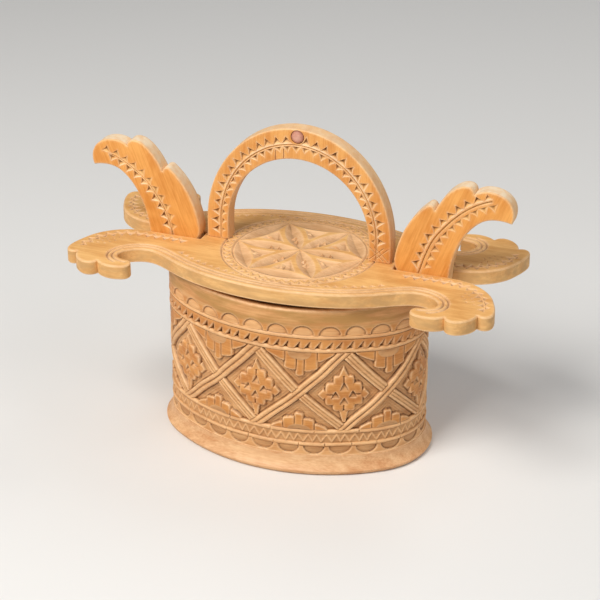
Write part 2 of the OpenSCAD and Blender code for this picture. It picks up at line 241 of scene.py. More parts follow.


# Oiled birch, pale to deep by its figure. Skin is the tone of an uncut face, aged of a face that was never
# carved; the hollow tint is dust with painted shade in the hollows, and the pale tint is bare wood with
# painted highlights on edges and crests; turn lays the grain along the piece
def birch(
    name, pale, deep, dust, wear_and_highlight_tint, turn=(0, 0, 0), skin=None, aged=(200, 156, 98), figure=3.0, dusty=0.6,
    wear_and_highlight_share=0.5, unrolled=False,
):
    material = bpy.data.materials.new(name)
    material.use_nodes = True
    tree = material.node_tree
    shader = tree.nodes["Principled BSDF"]

    def value_of(attribute, kind="Fac"):
        return node_of(tree, "ShaderNodeAttribute", attribute_name=attribute).outputs[kind]

    if unrolled:
        place = value_of("unrolled", "Vector")
    else:
        in_object = node_of(tree, "ShaderNodeTexCoord").outputs["Object"]
        laid = {"Vector": in_object, "Rotation": turn, "Scale": (1000, 1000, 1000)}
        place = node_of(tree, "ShaderNodeMapping", laid).outputs[0]
    tones = [colour_of(*pale), colour_of(*deep)]
    if skin:
        kept = value_of("skin")
        tones = [blend(tree, kept, cut, colour_of(*uncut)) for cut, uncut in zip(tones, skin)]
    grown = {"Place": place, "Pale": tones[0], "Deep": tones[1], "Figure": figure}
    wood = node_of(tree, "ShaderNodeGroup", grown, node_tree=birch_grain)
    colour = wood.outputs["Colour"]
    for finish, where, tint, amount, least in (
        (patchy_tint, "aged", aged, 0.85, 0.1),
        (wear_and_highlight_patches, "worn", wear_and_highlight_tint, wear_and_highlight_share, 0.55),
        (patchy_tint, "sunk", dust, dusty, 0.6),
    ):
        laid_on = {
            "Place": place, "Colour": colour, "Where": value_of(where), "Tint": colour_of(*tint),
            "Amount": amount, "Least": least,
        }
        colour = node_of(tree, "ShaderNodeGroup", laid_on, node_tree=finish).outputs["Colour"]
    fibre = wood.outputs["Fibre"]
    sheen = node_of(tree, "ShaderNodeMapRange", {0: fibre, 1: 0.3, 2: 0.7, 3: 0.46, 4: 0.6})
    bump = node_of(tree, "ShaderNodeBump", {"Height": fibre, "Strength": 0.25, "Distance": 0.0002})
    tree.links.new(colour, shader.inputs["Base Color"])
    tree.links.new(sheen.outputs[0], shader.inputs["Roughness"])
    tree.links.new(bump.outputs[0], shader.inputs["Normal"])
    shader.inputs["Specular IOR Level"].default_value = 0.4
    return material


# The end of each tree that shapes a piece: one plain mesh in its wood
def end_in_wood(tree, shape, wood, result):
    whole = node_of(tree, "GeometryNodeRealizeInstances", {"Geometry": shape})
    coloured = node_of(tree, "GeometryNodeSetMaterial", {"Geometry": whole.outputs[0], "Material": wood})
    tree.links.new(coloured.outputs[0], result[0])


# Carries the foot's section, made of lines and arcs, along the oval
def foot_moulding_tree():
    lengths = (
        "Flare", "Toe", "Foot height", "Cove radius", "Cove start", "Cove sweep", "Step in", "Plug height",
        "Board in",
    )
    tree, size, result = new_tree(
        "foot moulding", "GeometryNodeTree",
        {"Geometry": "Geometry", **dict.fromkeys(lengths, "Float"), "Wood": "Material"},
        {"Geometry": "Geometry"},
    )

    def point(out, height):
        below = maths(tree, "SUBTRACT", 0.0, height)
        return node_of(tree, "ShaderNodeCombineXYZ", {0: out, 1: below}).outputs[0]

    def line(start, end):
        return node_of(tree, "GeometryNodeCurvePrimitiveLine", {0: start, 1: end}).outputs[0]

    def arc(radius, start, sweep, centre, steps):
        bend = node_of(
            tree, "GeometryNodeCurveArc",
            {"Resolution": steps, "Radius": radius, "Start Angle": start, "Sweep Angle": sweep},
            mode="RADIUS",
        )
        placed = {"Geometry": bend.outputs[0], "Translation": centre}
        return node_of(tree, "GeometryNodeTransform", placed).outputs[0]

    foot_high = size["Foot height"]
    cove = size["Cove radius"]
    toe_out = maths(tree, "SUBTRACT", size["Flare"], size["Toe"])
    board_out = maths(tree, "SUBTRACT", 0.0, size["Board in"])
    step_out = maths(tree, "SUBTRACT", 0.0, size["Step in"])
    plug_top = maths(tree, "ADD", foot_high, size["Plug height"])
    section = node_of(tree, "GeometryNodeJoinGeometry")
    for part in (
        line(point(board_out, 0.0), point(toe_out, 0.0)),
        arc(size["Toe"], math.pi / 2, -math.pi / 2, point(toe_out, size["Toe"]), 8),
        arc(cove, size["Cove start"], size["Cove sweep"], point(cove, foot_high), 12),
        line(point(0.0, foot_high), point(step_out, foot_high)),
        line(point(step_out, foot_high), point(step_out, plug_top)),
        line(point(step_out, plug_top), point(board_out, plug_top)),
    ):
        tree.links.new(part, section.inputs[0])
    path = node_of(tree, "GeometryNodeMeshToCurve", {"Mesh": size["Geometry"]})
    carried = {"Curve": path.outputs[0], "Profile Curve": section.outputs[0]}
    swept = node_of(tree, "GeometryNodeCurveToMesh", carried)
    welded = node_of(tree, "GeometryNodeMergeByDistance", {"Geometry": swept.outputs[0], "Distance": 0.00001})
    outwards = node_of(tree, "GeometryNodeFlipFaces", {"Mesh": welded.outputs[0]})
    end_in_wood(tree, outwards.outputs[0], size["Wood"], result)
    return tree


oval_steps = 480
oval_runs = (np.arange(oval_steps) / oval_steps - 0.5) * whole_run
oval_points = [(x * mm, y * mm, 0.0) for x, y in zip(*oval_place(oval_runs))]
oval_edges = [(number, (number + 1) % oval_steps) for number in range(oval_steps)]
cove_rise = foot_top - toe
cove_radius = (cove_rise ** 2 + flare ** 2) / (2 * flare)
cove_angle = math.atan2(cove_rise, cove_radius - flare)
foot_wood = birch(
    "foot birch", pale=(234, 190, 142), deep=(202, 144, 94), dust=(176, 128, 78), wear_and_highlight_tint=(240, 200, 152),
    figure=5.0,
)
bottom_board = mesh_object("bottom_board_wood", oval_points, [], oval_edges)
shaped_by(
    bottom_board, foot_moulding_tree(), flare=flare * mm, toe=toe * mm, foot_height=foot_top * mm,
    plug_height=(floor_top - foot_top) * mm, cove_radius=cove_radius * mm, cove_start=math.pi - cove_angle,
    cove_sweep=cove_angle, step_in=(band_thick + plug_play) * mm, board_in=moulding_wide * mm, wood=foot_wood,
)
turned_outwards(bottom_board, close=True)

# The two sockets that the posts' round feet stand in
post_low, post_high = box_of("right_post")
peg_low, peg_high = box_of("right_post_peg")
peg_proud = 0.4
foot_z = (peg_low[2] + peg_high[2]) / 2
foot_radius = foot_z - post_low[2]
foot_x = peg_low[0] + peg_proud + foot_radius
socket_radius = (foot_radius + 0.35) * mm
socket_long = 11.2 * mm
cutter = mesh_object("socket cutter", [], [])
rounds = bmesh.new()
for side in (-1, 1):
    centre = Vector((side * foot_x, 0, foot_z)) * mm
    bmesh.ops.create_cone(
        rounds, cap_ends=True, segments=48, radius1=socket_radius, radius2=socket_radius, depth=socket_long,
        matrix=Matrix.Translation(centre) @ Matrix.Rotation(math.pi / 2, 4, "X"),
    )
rounds.to_mesh(cutter.data)
rounds.free()
cut = bottom_board.modifiers.new("sockets", "BOOLEAN")
cut.object = cutter
cut.solver = "EXACT"
made_plain(bottom_board)
bpy.data.objects.remove(cutter)
finished(bottom_board, "bottom_board", "box", crease=35)


# Side band. One strip of birch bent round the oval, carved after bending: scallops, toothed rows and ridges
# round both edges, and between them a lattice of grooved bars with flowers and hanging leaves.
rim_high = band_high[2]
rim_dip = 3.2
lip_radius = 1.2
plain_high = 12.5
scallop_high = 6.2
ridge_high = 2.6
tooth_high = 6.0
low_ridge = foot_top + scallop_high
low_teeth = low_ridge + ridge_high
field_ridge = low_teeth + tooth_high
field_low = field_ridge + ridge_high
plain_low = rim_high - plain_high
top_scallop = plain_low - scallop_high
top_ridge = top_scallop - ridge_high
top_teeth = top_ridge - tooth_high
field_high = top_teeth - ridge_high
field_mid = (field_low + field_high) / 2
field_half = (field_high - field_low) / 2
lattice_pitch = whole_run / 8
lattice_half = lattice_pitch / 2
lattice_start = -7.0
lattice_sag = 1.8
bar_half = 3.0
ground_deep = 2.5
tip_deep = 0.7
petal_deep = 0.15
leaf_deep = 0.35
flower_wide = 0.99
flower_high = 1.15
flower_drop = 0.4
lap_seam = -202.5


# 1 inside an edge and 0 outside it, with a slope as wide as a knife leaves
def within(distance, slope=0.35):
    return np.clip(0.5 - distance / slope, 0, 1)


# A row of half-round scoops that stand on a line; the knife goes deepest at the arc
def scallop_row(run, rise, count, wide, high):
    pitch = whole_run / count
    across = (run - np.round(run / pitch) * pitch) / (wide / 2)
    reach = np.sqrt(across ** 2 + (np.clip(rise, 0, None) / high) ** 2)
    inside = within((reach - 1) * high, 0.3) * (rise > 0)
    return inside * (0.25 + 0.85 * np.clip(reach, 0, 1) ** 3), inside


# A row of uneven three-sided chips with their points up. Each leans, and is deepest at a share of its width
def tooth_row(run, rise, count, wide, high, deep, lean, lowest_at):
    pitch = whole_run / count
    step = np.round(run / pitch)
    across = run - step * pitch - 0.35 * np.sin(step * 2.4) - 0.2 * np.sin(step * 5.3)
    up = np.clip(rise / (high * (1 + 0.06 * np.sin(step * 1.7))), 0, 1)
    left = -wide / 2 + (wide / 2 + lean) * up
    lowest = wide * (lowest_at - 0.5) * (1 - up) + lean * up
    right = wide / 2 + (lean - wide / 2) * up
    steep = (across - left) / np.maximum(lowest - left, 0.05)
    gentle = (right - across) / np.maximum(right - lowest, 0.05)
    return deep * np.sqrt(1 - up) * np.clip(np.minimum(steep, gentle), 0, 1) * (rise > 0)


# How far a place is from a raised zigzag line in a row
def zigzag_row(run, rise, count, high):
    pitch = whole_run / count
    swing = 0.76 * high
    share = np.abs((run / pitch) % 1 - 0.5) * 2
    line = 0.12 * high + swing * (1 - share)
    return np.abs(rise - line) / math.hypot(1, swing / (pitch / 2))


# A flower of eight blunt petals with a point above, a stem below and a tip on either side. Four three-sided
# pits round its middle are deepest at their tops. Gives how far petals and tips are, and how deep the pits
def flower(across, high):
    beside = np.abs(across)
    above = np.abs(high)
    petals = np.full(np.shape(across), 9.0)
    blunt = 4.5
    for x, z, size in ((3.2, 7.0, 3.2), (7.6, 3.3, 3.2), (2.6, 2.6, 4.0)):
        petal = (np.abs(beside - x) ** blunt + np.abs(above - z) ** blunt) ** (1 / blunt) - size
        petals = np.minimum(petals, petal)
    point = np.maximum(beside - 3.0 * (15.2 - above) / 5.4, 9.8 - above)
    stem = np.maximum(beside - 2.8 + 0.24 * (above - 9.9), np.maximum(9.9 - above, above - 17.4))
    side_tips = (np.abs(beside - 12.0) + above) * 0.71 - 2.3
    tips = np.minimum(np.where(high > 0, point, stem), side_tips)
    pits = np.zeros(np.shape(across))
    for x, z in ((0.0, 4.6), (-5.0, -0.2), (5.0, 0.2), (0.0, -4.0)):
        up = (high - z + 1.9) / 4.0
        inside = within(np.abs(across - x) - 2.4 * (1 - up), 0.3) * (up > 0) * (up < 1)
        pits = np.maximum(pits, 2.6 * inside * np.clip(up + 0.2, 0, 1))
    end_slits = np.clip(1 - beside / 0.4, 0, 1) * (above > 7.6) * (above < 10.4)
    side_slits = np.clip(1 - above / 0.4, 0, 1) * (beside > 8.4) * (beside < 11.0)
    return petals, np.maximum(pits, np.maximum(end_slits, side_slits)), tips


# Leaves that hang from a ridge in a corner of the lattice: blocks of uneven length round a half-round boss.
# Gives the distance from the blocks, the depth of the cuts between them and the distance from the boss
def hanging_leaves(across, drop, blocks, boss_wide, boss_high):
    edge = np.full(np.shape(across), 9.0)
    cuts = np.zeros(np.shape(across))
    for left, right, left_long, right_long in blocks:
        half = (right - left) / 2
        aside = across - (left + right) / 2
        length = (left_long + right_long) / 2 + (right_long - left_long) / 2 * aside / half
        round_end = 0.7 * (np.abs(aside) / half) ** 4
        edge = np.minimum(edge, np.maximum(np.abs(aside) - half - 0.15, drop - length + round_end))
        cuts = np.maximum(cuts, np.clip(1 - np.abs(across - right) / 0.4, 0, 1) * (drop < length))
    boss = (np.hypot(across / boss_wide, np.clip(drop, 0, None) / boss_high) - 1) * boss_high
    return edge, cuts, boss


# Each block of leaves: its left and right end, and its length at either
top_leaves = (
    (-20.0, -8.6, 1.6, 6.8), (-8.6, -1.8, 11.0, 12.2), (-1.8, 2.8, 15.6, 15.2), (2.8, 10.8, 12.8, 10.8),
    (10.8, 21.0, 6.6, 1.6),
)
low_leaves = (
    (-17.0, -9.4, 1.2, 4.6), (-9.4, -2.6, 7.0, 8.2), (-2.6, 2.4, 10.8, 10.4), (2.4, 8.8, 7.4, 6.6),
    (8.8, 16.5, 4.4, 1.2),
)


# A value where something lies over it by a share
def covered(value, share, over):
    return value * (1 - share) + share * over


# The lattice between the rows: its depth, and how much uncut skin, and dust with painted shade, shows
def lattice_field(run, z, hand_run, hand_z):
    sag = lattice_sag * np.clip(1 - np.abs(hand_z - field_mid) / field_half, 0, 1)
    flower_z = hand_z - field_mid + sag
    share = (hand_run - lattice_start) / lattice_half
    rise = flower_z / field_half
    scale = lattice_half * field_half / math.hypot(lattice_half, field_half)

    def from_bar(slanted):
        turns = (slanted - 1) / 2
        return (turns - np.round(turns)) * 2 * scale

    falling = from_bar(share + rise)
    rising = from_bar(share - rise)
    nearer = np.where(np.abs(falling) < np.abs(rising), falling, rising)
    tool_mark = np.abs(np.sin(nearer * 1.9))
    ground = ground_deep - 0.3 * tool_mark + 0.12 * np.sin(run / 3.1 - z / 1.7)

    # A flower stands in each diamond, its petals over its tips
    from_start = hand_run - lattice_start
    across = from_start - np.round(from_start / lattice_pitch) * lattice_pitch
    petals, pits, tips = flower(across / flower_wide, (flower_z + flower_drop) / flower_high)
    raised = within(tips)
    deep = covered(ground, raised, tip_deep)
    skin = 0.7 * raised
    dusty = 0.28 * (1 - raised)
    raised = within(petals)
    dome = 0.55 * np.clip(1 + petals / 1.6, 0, 1) ** 2
    petal_face = petal_deep + dome + pits + 0.06 * np.sin(run * 1.3 + z)
    deep = covered(deep, raised, petal_face)
    skin = covered(skin, raised, np.clip(1 - pits * 1.4, 0, 1))
    dusty = dusty * (1 - raised)

    # Leaves fill the corners above and below, each round its boss
    across = from_start - (np.floor(from_start / lattice_pitch) + 0.5) * lattice_pitch
    for drop, blocks, boss_wide, boss_high, boss_deep in (
        (field_high - hand_z, top_leaves, 7.0, 4.8, 1.1), (hand_z - field_low, low_leaves, 6.6, 3.2, 0.4),
    ):
        edge, cuts, boss = hanging_leaves(across, drop, blocks, boss_wide, boss_high)
        raised = within(edge) * (drop < 20)
        deep = np.minimum(deep, covered(ground, raised, leaf_deep + cuts))
        skin = np.maximum(skin, raised * np.clip(1 - cuts * 1.4, 0, 1))
        over_boss = within(boss) * (drop < 10)
        boss_face = 0.15 + boss_deep * np.clip(-boss / boss_high, 0, 1)
        deep = covered(deep, over_boss, boss_face)
        skin = skin * (1 - over_boss)
        # The scooped boss takes half the hollow tint: painted shade in its scoop, with dust
        dusty = covered(np.where(raised > 0.5, 0, dusty), over_boss, 0.5)

    # A falling bar has three strips, and a rising one that crosses over it two fuller beads
    three_strips = (np.abs(falling) + 1.0) % 2.0 - 1.0
    two_beads = np.abs(rising) / 1.5 - 1.0
    for distance, across_bead, groove in ((falling, three_strips, 0.6), (rising, two_beads, 1.1)):
        on_bar = within(np.abs(distance) - bar_half, 0.5)
        deep = covered(deep, on_bar, 0.05 + groove * np.abs(across_bead) ** 2.5)
        skin = skin * (1 - on_bar)
        dusty = dusty * (1 - on_bar)
    return {"deep": deep, "skin": skin, "dusty": dusty}


# Depth of the carving below the face of the ridges, and how much uncut skin, dust with painted shade, and
# aged plain wood shows
def band_relief(run, z):
    relief = {name: np.zeros(run.shape) for name in ("deep", "skin", "dusty", "aged")}
    # The carver's hand wanders a little along the rows and across them
    hand_run = run + 0.25 * np.sin(run / 7.3 + z / 5.1) + 0.2 * np.sin(run / 19.0 - z / 8.7)
    hand_z = z + 0.15 * np.sin(run / 9.7) + 0.12 * np.sin(run / 4.9 + 1.3)

    def lay(low, high, **values):
        row = (z > low) & (z <= high)
        for name, value in values.items():
            relief[name] = np.where(row, value, relief[name])

    scoop, inside = scallop_row(hand_run + 3, low_ridge - hand_z, count=27, wide=12.8, high=5.2)
    lay(foot_top, low_ridge, deep=0.35 + scoop, skin=0.2 * (1 - inside), dusty=0.45 * inside)
    zigzag_run = hand_run + 0.35 * np.sin(run / 2.3)
    beside_line = np.clip(zigzag_row(zigzag_run, hand_z - low_teeth, count=77, high=tooth_high), 0, 1)
    lay(low_teeth, field_ridge, deep=0.35 + 0.75 * beside_line, dusty=0.4 * beside_line)
    lay(field_low, field_high, **lattice_field(run, z, hand_run, hand_z))
    chips = tooth_row(
        hand_run, hand_z - top_teeth, count=69, wide=4.4, high=4.8, deep=2.7, lean=1.7, lowest_at=0.2,
    )
    lay(top_teeth, top_ridge, deep=0.3 + chips, skin=np.clip(1 - chips * 1.5, 0, 1))
    scoop, inside = scallop_row(hand_run + 8.3, hand_z - top_scallop, count=28, wide=12.2, high=5.6)
    between = 1 - inside
    uncut = np.clip(1 - (z - top_scallop - 3.5) / 2, 0, 1)
    lay(top_scallop, plain_low, deep=0.25 + scoop, skin=0.9 * between * uncut, aged=between * (1 - uncut))
    planed = 0.2 + 0.06 * np.sin(run / 6.1) * np.sin(z / 3.3)
    lay(plain_low, rim_high, deep=planed, skin=0.3, aged=1.0)

    for ridge in (low_ridge, field_ridge, field_high, top_ridge):
        bow = (hand_z - ridge - ridge_high / 2) / (ridge_high / 2)
        lay(ridge, ridge + ridge_high, deep=0.85 * np.abs(np.clip(bow, -1, 1)) ** 3)
    for ridge, count, shift in ((low_ridge, 27, 3.0), (field_ridge, 16, 9.0)):
        pitch = whole_run / count
        from_nick = np.abs(((hand_run + shift) / pitch + 0.5) % 1 - 0.92) * pitch
        nick = 0.9 * np.clip(1 - from_nick / 0.3, 0, 1)
        lay(ridge, ridge + ridge_high, deep=np.maximum(relief["deep"], nick))
    seam = np.clip(1 - np.abs(run - lap_seam) / 0.4, 0, 1)
    relief["deep"] = np.maximum(relief["deep"], seam)
    return relief


# How far each point lies below or above the mean of its neighbours, from 0 to 1 each
def hollows_and_crests(height, edges, rounds, full):
    mean = height.copy()
    ends = np.concatenate([edges[:, 0], edges[:, 1]])
    others = np.concatenate([edges[:, 1], edges[:, 0]])
    count = np.maximum(np.bincount(ends, minlength=len(height)), 1)
    for _ in range(rounds):
        mean = np.bincount(ends, weights=mean[others], minlength=len(height)) / count
    return np.clip((mean - height) / full, 0, 1), np.clip((height - mean) / full, 0, 1)


# Gives a mesh values or vectors at its points, for its material and its trees to read
def point_values(mesh, **values):
    for name, numbers in values.items():
        numbers = np.asarray(numbers, np.float32)
        kind, field = ("FLOAT_VECTOR", "vector") if numbers.ndim == 2 else ("FLOAT", "value")
        mesh.attributes.new(name, kind, "POINT").data.foreach_set(field, numbers.ravel())


# Bends a carved strip round the oval: X is the length along the path, Y the distance out, Z the height
def bent_round_tree():
    tree, given, result = new_tree(
        "bent round the oval", "GeometryNodeTree",
        {"Geometry": "Geometry", "Path": "Object", "Start": "Float", "Wood": "Material"},
        {"Geometry": "Geometry"},
    )
    position = node_of(tree, "GeometryNodeInputPosition").outputs[0]
    flat = node_of(tree, "ShaderNodeSeparateXYZ", {0: position}).outputs
    shape = node_of(tree, "GeometryNodeObjectInfo", {"Object": given["Path"]})
    path = node_of(tree, "GeometryNodeMeshToCurve", {"Mesh": shape.outputs["Geometry"]})
    length = maths(tree, "SUBTRACT", flat["X"], given["Start"])
    along = {"Curves": path.outputs[0], "Length": length}
    spot = node_of(tree, "GeometryNodeSampleCurve", along, mode="LENGTH")
    outwards = vector_maths(tree, "CROSS_PRODUCT", spot.outputs["Tangent"], (0, 0, 1))
    aside = vector_maths(tree, "MULTIPLY", outwards, flat["Y"])
    upwards = node_of(tree, "ShaderNodeCombineXYZ", {2: flat["Z"]}).outputs[0]
    on_path = vector_maths(tree, "ADD", spot.outputs["Position"], aside)
    placed = {"Geometry": given["Geometry"], "Position": vector_maths(tree, "ADD", on_path, upwards)}
    bent = node_of(tree, "GeometryNodeSetPosition", placed)
    end_in_wood(tree, bent.outputs[0], given["Wood"], result)
    return tree


# A strip of the band that is not carved, by its depth and height
def uncarved(deep, rise):
    none = 0 * rise
    return {"rise": rise, "deep": deep + none, "skin": 0.3 + none, "dusty": none, "aged": none}


# Rows of points lie closer together at every edge that runs round the band
band_foot = foot_top + 0.05
row_edges = [
    band_foot, low_ridge, low_teeth, field_ridge, field_low, field_high, top_teeth, top_ridge, top_scallop,
    plain_low,
]
row_step = 0.42
edge_gap = 0.03
heights = np.concatenate([
    np.linspace(low + edge_gap, high - edge_gap, round((high - low) / row_step))
    for low, high in zip(row_edges, row_edges[1:])
])
panel_count = 4
panel_columns = 252
band_columns = panel_count * panel_columns
runs = (np.arange(band_columns + 1) / band_columns - 0.5) * whole_run
rim_at_run = (rim_high - rim_dip * (1 - (oval_place(runs)[0] / half_long) ** 2))[:, None]
run_grid, z_grid = np.meshgrid(runs, heights, indexing="ij")
carved = {"rise": z_grid, **band_relief(run_grid, z_grid)}
plain_rise = plain_low + np.linspace(0, 1, 20)[1:] * (rim_at_run - lip_radius - plain_low)
plain_run = runs[:, None] + 0 * plain_rise
plain = {"rise": plain_rise, **band_relief(plain_run, np.maximum(plain_rise, plain_low + 0.01))}
lip_turn = np.radians([30, 60, 90])
lip_deep = 0.2 + lip_radius * (1 - np.cos(lip_turn))
lip = uncarved(lip_deep, rim_at_run - lip_radius + lip_radius * np.sin(lip_turn))
inner_deep = np.concatenate([[band_thick - 1.0, band_thick - 0.3], np.full(8, band_thick), [band_thick / 2]])
inner_share = np.concatenate([[1.0, 0.995], np.linspace(0.985, 0, 8), [0.0]])
inner = uncarved(inner_deep, band_foot + inner_share * (rim_at_run - band_foot))
band = {key: np.concatenate([strip[key] for strip in (carved, plain, lip, inner)], axis=1) for key in carved}
band_rows = band["deep"].shape[1]

# The band's hollow tint is dark: it paints the shade at the feet of the relief as well as dust
band_wood = birch(
    "band birch", pale=(230, 177, 120), deep=(202, 143, 87), dust=(104, 62, 32), wear_and_highlight_tint=(248, 208, 160),
    skin=((214, 148, 78), (188, 118, 54)), aged=(176, 130, 68), figure=6.0, dusty=0.95, wear_and_highlight_share=0.85,
    unrolled=True,
)
path_object = mesh_object("oval path", oval_points, [], oval_edges)
bent_round = bent_round_tree()
for panel in range(panel_count):
    part = slice(panel * panel_columns, (panel + 1) * panel_columns + 1)
    strip = {key: values[part].ravel() for key, values in band.items()}
    points = np.stack([np.repeat(runs[part], band_rows), -strip["deep"], strip["rise"]], axis=1)
    index = np.arange(len(points)).reshape(-1, band_rows)
    above = np.roll(index, -1, axis=1)
    faces = np.stack([index[:-1], index[1:], above[1:], above[:-1]], axis=-1).reshape(-1, 4).tolist()
    faces += [index[0].tolist(), index[-1][::-1].tolist()]
    piece = mesh_object(f"side_band_panel_{panel + 1}", (points * mm).tolist(), faces)
    edges = np.array([edge.vertices[:] for edge in piece.data.edges])
    # Painted shade and dust darken the hollows and the regions given a share of them; wear and a painted
    # highlight pale the crests
    sunk, worn = hollows_and_crests(points[:, 1], edges, rounds=4, full=0.45)
    point_values(
        piece.data, sunk=np.maximum(sunk, 0.8 * strip["dusty"]), worn=worn, skin=strip["skin"],
        aged=strip["aged"], unrolled=points[:, [0, 2, 1]],
    )
    shaped_by(piece, bent_round, path=path_object, start=-whole_run / 2 * mm, wood=band_wood)
    finished(piece, "side_band", "box", crease=75)
bpy.data.objects.remove(path_object)


# Posts. Two flat boards of birch, sawn to a leaf above the lid and a plain stem inside the box. A line is cut
# along each leaf with a row of three-sided chips on either side of it, on both faces.
post_half = (post_high[1] - post_low[1]) / 2


def cross(a, b):
    return a[..., 0] * b[..., 1] - a[..., 1] * b[..., 0]


# A node's solid, with the corners of its triangles joined
def joined_solid(node):
    solid = bmesh.new()
    solid.from_mesh(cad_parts[node].data)
    bmesh.ops.remove_doubles(solid, verts=solid.verts, dist=0.000001)
    return solid


# The outline of a node's flat end face, in millimetres, the wood on its left; the face looks along an axis
def end_face_outline(node, axis, sign):
    solid = joined_solid(node)
    level = max(sign * vert.co[axis] for vert in solid.verts)
    flat = [
        face for face in solid.faces if all(abs(sign * v.co[axis] - level) < 0.000005 for v in face.verts)
    ]
    in_flat = set(flat)
    following = {}
    for face in flat:
        for loop in face.loops:
            if sum(other in in_flat for other in loop.edge.link_faces) == 1:
                following[loop.vert] = loop.link_loop_next.vert
    kept = [a for a in range(3) if a != axis]
    outlines = []
    while following:
        vert = next(iter(following))
        points = []
        while vert in following:
            points.append([vert.co[a] / mm for a in kept])
            vert = following.pop(vert)
        outlines.append(np.array(points))
    solid.free()
    outline = max(outlines, key=len)
    return outline if np.sum(cross(outline, np.roll(outline, -1, axis=0))) > 0 else outline[::-1]


# The same line in even steps, with its bends made smooth and its corners kept
def eased(points, step, closed=True):
    points = points[np.linalg.norm(points - np.roll(points, 1, axis=0), axis=1) > 0.001]
    count = len(points)
    ahead = np.roll(points, -1, axis=0) - points
    length = np.linalg.norm(ahead, axis=1)
    way = ahead / length[:, None]
    way_in = np.roll(way, 1, axis=0)
    length_in = np.roll(length, 1)
    turn = np.degrees(np.arccos(np.clip(np.sum(way * way_in, axis=1), -1, 1)))
    uneven = np.maximum(length, length_in) / np.minimum(length, length_in)
    corner = (turn > 42) | ((uneven > 4) & (turn > 4))
    if not closed:
        corner[[0, -1]] = True
    middle = (way_in * length[:, None] + way * length_in[:, None]) / (length + length_in)[:, None]
    middle /= np.linalg.norm(middle, axis=1)[:, None]
    result = []
    for i in range(count if closed else count - 1):
        j = (i + 1) % count
        leave = middle[i]
        arrive = middle[j]
        if corner[i] and corner[j]:
            leave = arrive = way[i]
        elif corner[i]:
            leave = 2 * way[i] * np.dot(way[i], arrive) - arrive
        elif corner[j]:
            arrive = 2 * way[i] * np.dot(way[i], leave) - leave
        steps = max(1, round(length[i] / step))
        t = (np.arange(steps) / steps)[:, None]
        result.append(
            (2 * t ** 3 - 3 * t ** 2 + 1) * points[i] + (t ** 3 - 2 * t ** 2 + t) * length[i] * leave
            + (3 * t ** 2 - 2 * t ** 3) * points[j] + (t ** 3 - t ** 2) * length[i] * arrive
        )
    if not closed:
        result.append(points[-1:])
    return np.concatenate(result)


def tree_of(points):
    finder = KDTree(len(points))
    for number, (x, y) in enumerate(points):
        finder.insert((x, y, 0), number)
    finder.balance()
    return finder


# How far each point is from the nearest point that a tree holds
def distances(finder, points):
    return np.array([finder.find((x, y, 0))[2] for x, y in points])


def close_points(line, step=0.12):
    parts = []
    for start, end in zip(line, line[1:]):
        count = max(1, int(np.linalg.norm(end - start) / step))
        parts.append(start + (end - start) * (np.arange(count) / count)[:, None])
    return np.concatenate([*parts, line[-1:]])


def rim_of(outline):
    return tree_of(close_points(np.concatenate([outline, outline[:1]])))


def square_to(way):
    return np.array([-way[1], way[0]])


# Directions square to a line, to its left
def left_of(line, closed=False):
    if closed:
        along = np.roll(line, -1, axis=0) - np.roll(line, 1, axis=0)
    else:
        along = np.gradient(line, axis=0)
    along /= np.maximum(np.linalg.norm(along, axis=1), 1e-9)[:, None]
    return square_to(along.T).T


# Places at even steps along a line, with the direction there
def places_along(line, pitch, start=0.0):
    run = np.concatenate([[0], np.cumsum(np.linalg.norm(np.diff(line, axis=0), axis=1))])
    at = start + (np.arange(int((run[-1] - start) / pitch)) + 0.5) * pitch

    def spots(shift):
        return np.stack([np.interp(at + shift, run, line[:, k]) for k in (0, 1)], axis=1)

    way = spots(0.3) - spots(-0.3)
    return zip(spots(0.0), way / np.linalg.norm(way, axis=1)[:, None])


# Uneven three-sided chips along a line, each with its foot beside the line and its point away from it. The
# knife goes in deepest towards one end of the foot, by the lean. A chip is its corners, lowest spot and depth
def chips_along(line, pitch, wide, high, deep, gap, side, start=0.0, lean=(0.0, 0.0), lowest_at=0.3):
    chips = []
    for number, (spot, way) in enumerate(places_along(line, pitch, start)):
        off = square_to(way) * side
        width = wide * (1 + 0.08 * math.sin(number * 2.3 + side))
        height = high * (1 + 0.09 * math.sin(number * 1.7 + 2 * side))
        foot = spot + off * gap
        point = foot + off * height + way * 0.25 * math.sin(number * 3.1)
        corners = np.array([foot - way * width / 2, foot + way * width / 2, point])
        lowest = foot + off * height * lowest_at + np.array(lean)
        two_sides = np.column_stack([corners[1] - corners[0], corners[2] - corners[0]])
        shares = np.linalg.solve(two_sides, lowest - corners[0])
        shares = np.clip([1 - shares.sum(), *shares], 0.1, None)
        chips.append((corners, shares @ corners / shares.sum(), deep))
    return chips


# Chips of the posts and the handle, which are cut lowest towards the upper left
def leaning_chips(line, pitch, **sizes):
    return chips_along(line, pitch, lean=(-0.7, 0.8), lowest_at=0.45, **sizes)


def inside_of(loop, points):
    inside = np.zeros(len(points), bool)
    for (x1, y1), (x2, y2) in zip(loop, np.roll(loop, -1, axis=0)):
        crosses = (y1 > points[:, 1]) != (y2 > points[:, 1])
        reach = (x2 - x1) * (points[:, 1] - y1) / ((y2 - y1) or 1e-12) + x1
        inside ^= crosses & (points[:, 0] < reach)
    return inside


# The same chips, cut smaller where they would come too near the edge, or left out where that is not enough
def clear_of_edge(chips, outline, margin):
    rim = rim_of(outline)
    kept = []
    for corners, low, deep in chips:
        foot = corners[:2].mean(axis=0)
        for share in (1.0, 0.8, 0.62):
            smaller = foot + (corners - foot) * share
            if inside_of(outline, smaller).all() and distances(rim, smaller).min() > margin:
                kept.append((smaller, foot + (low - foot) * share, deep * share))
                break
    return kept


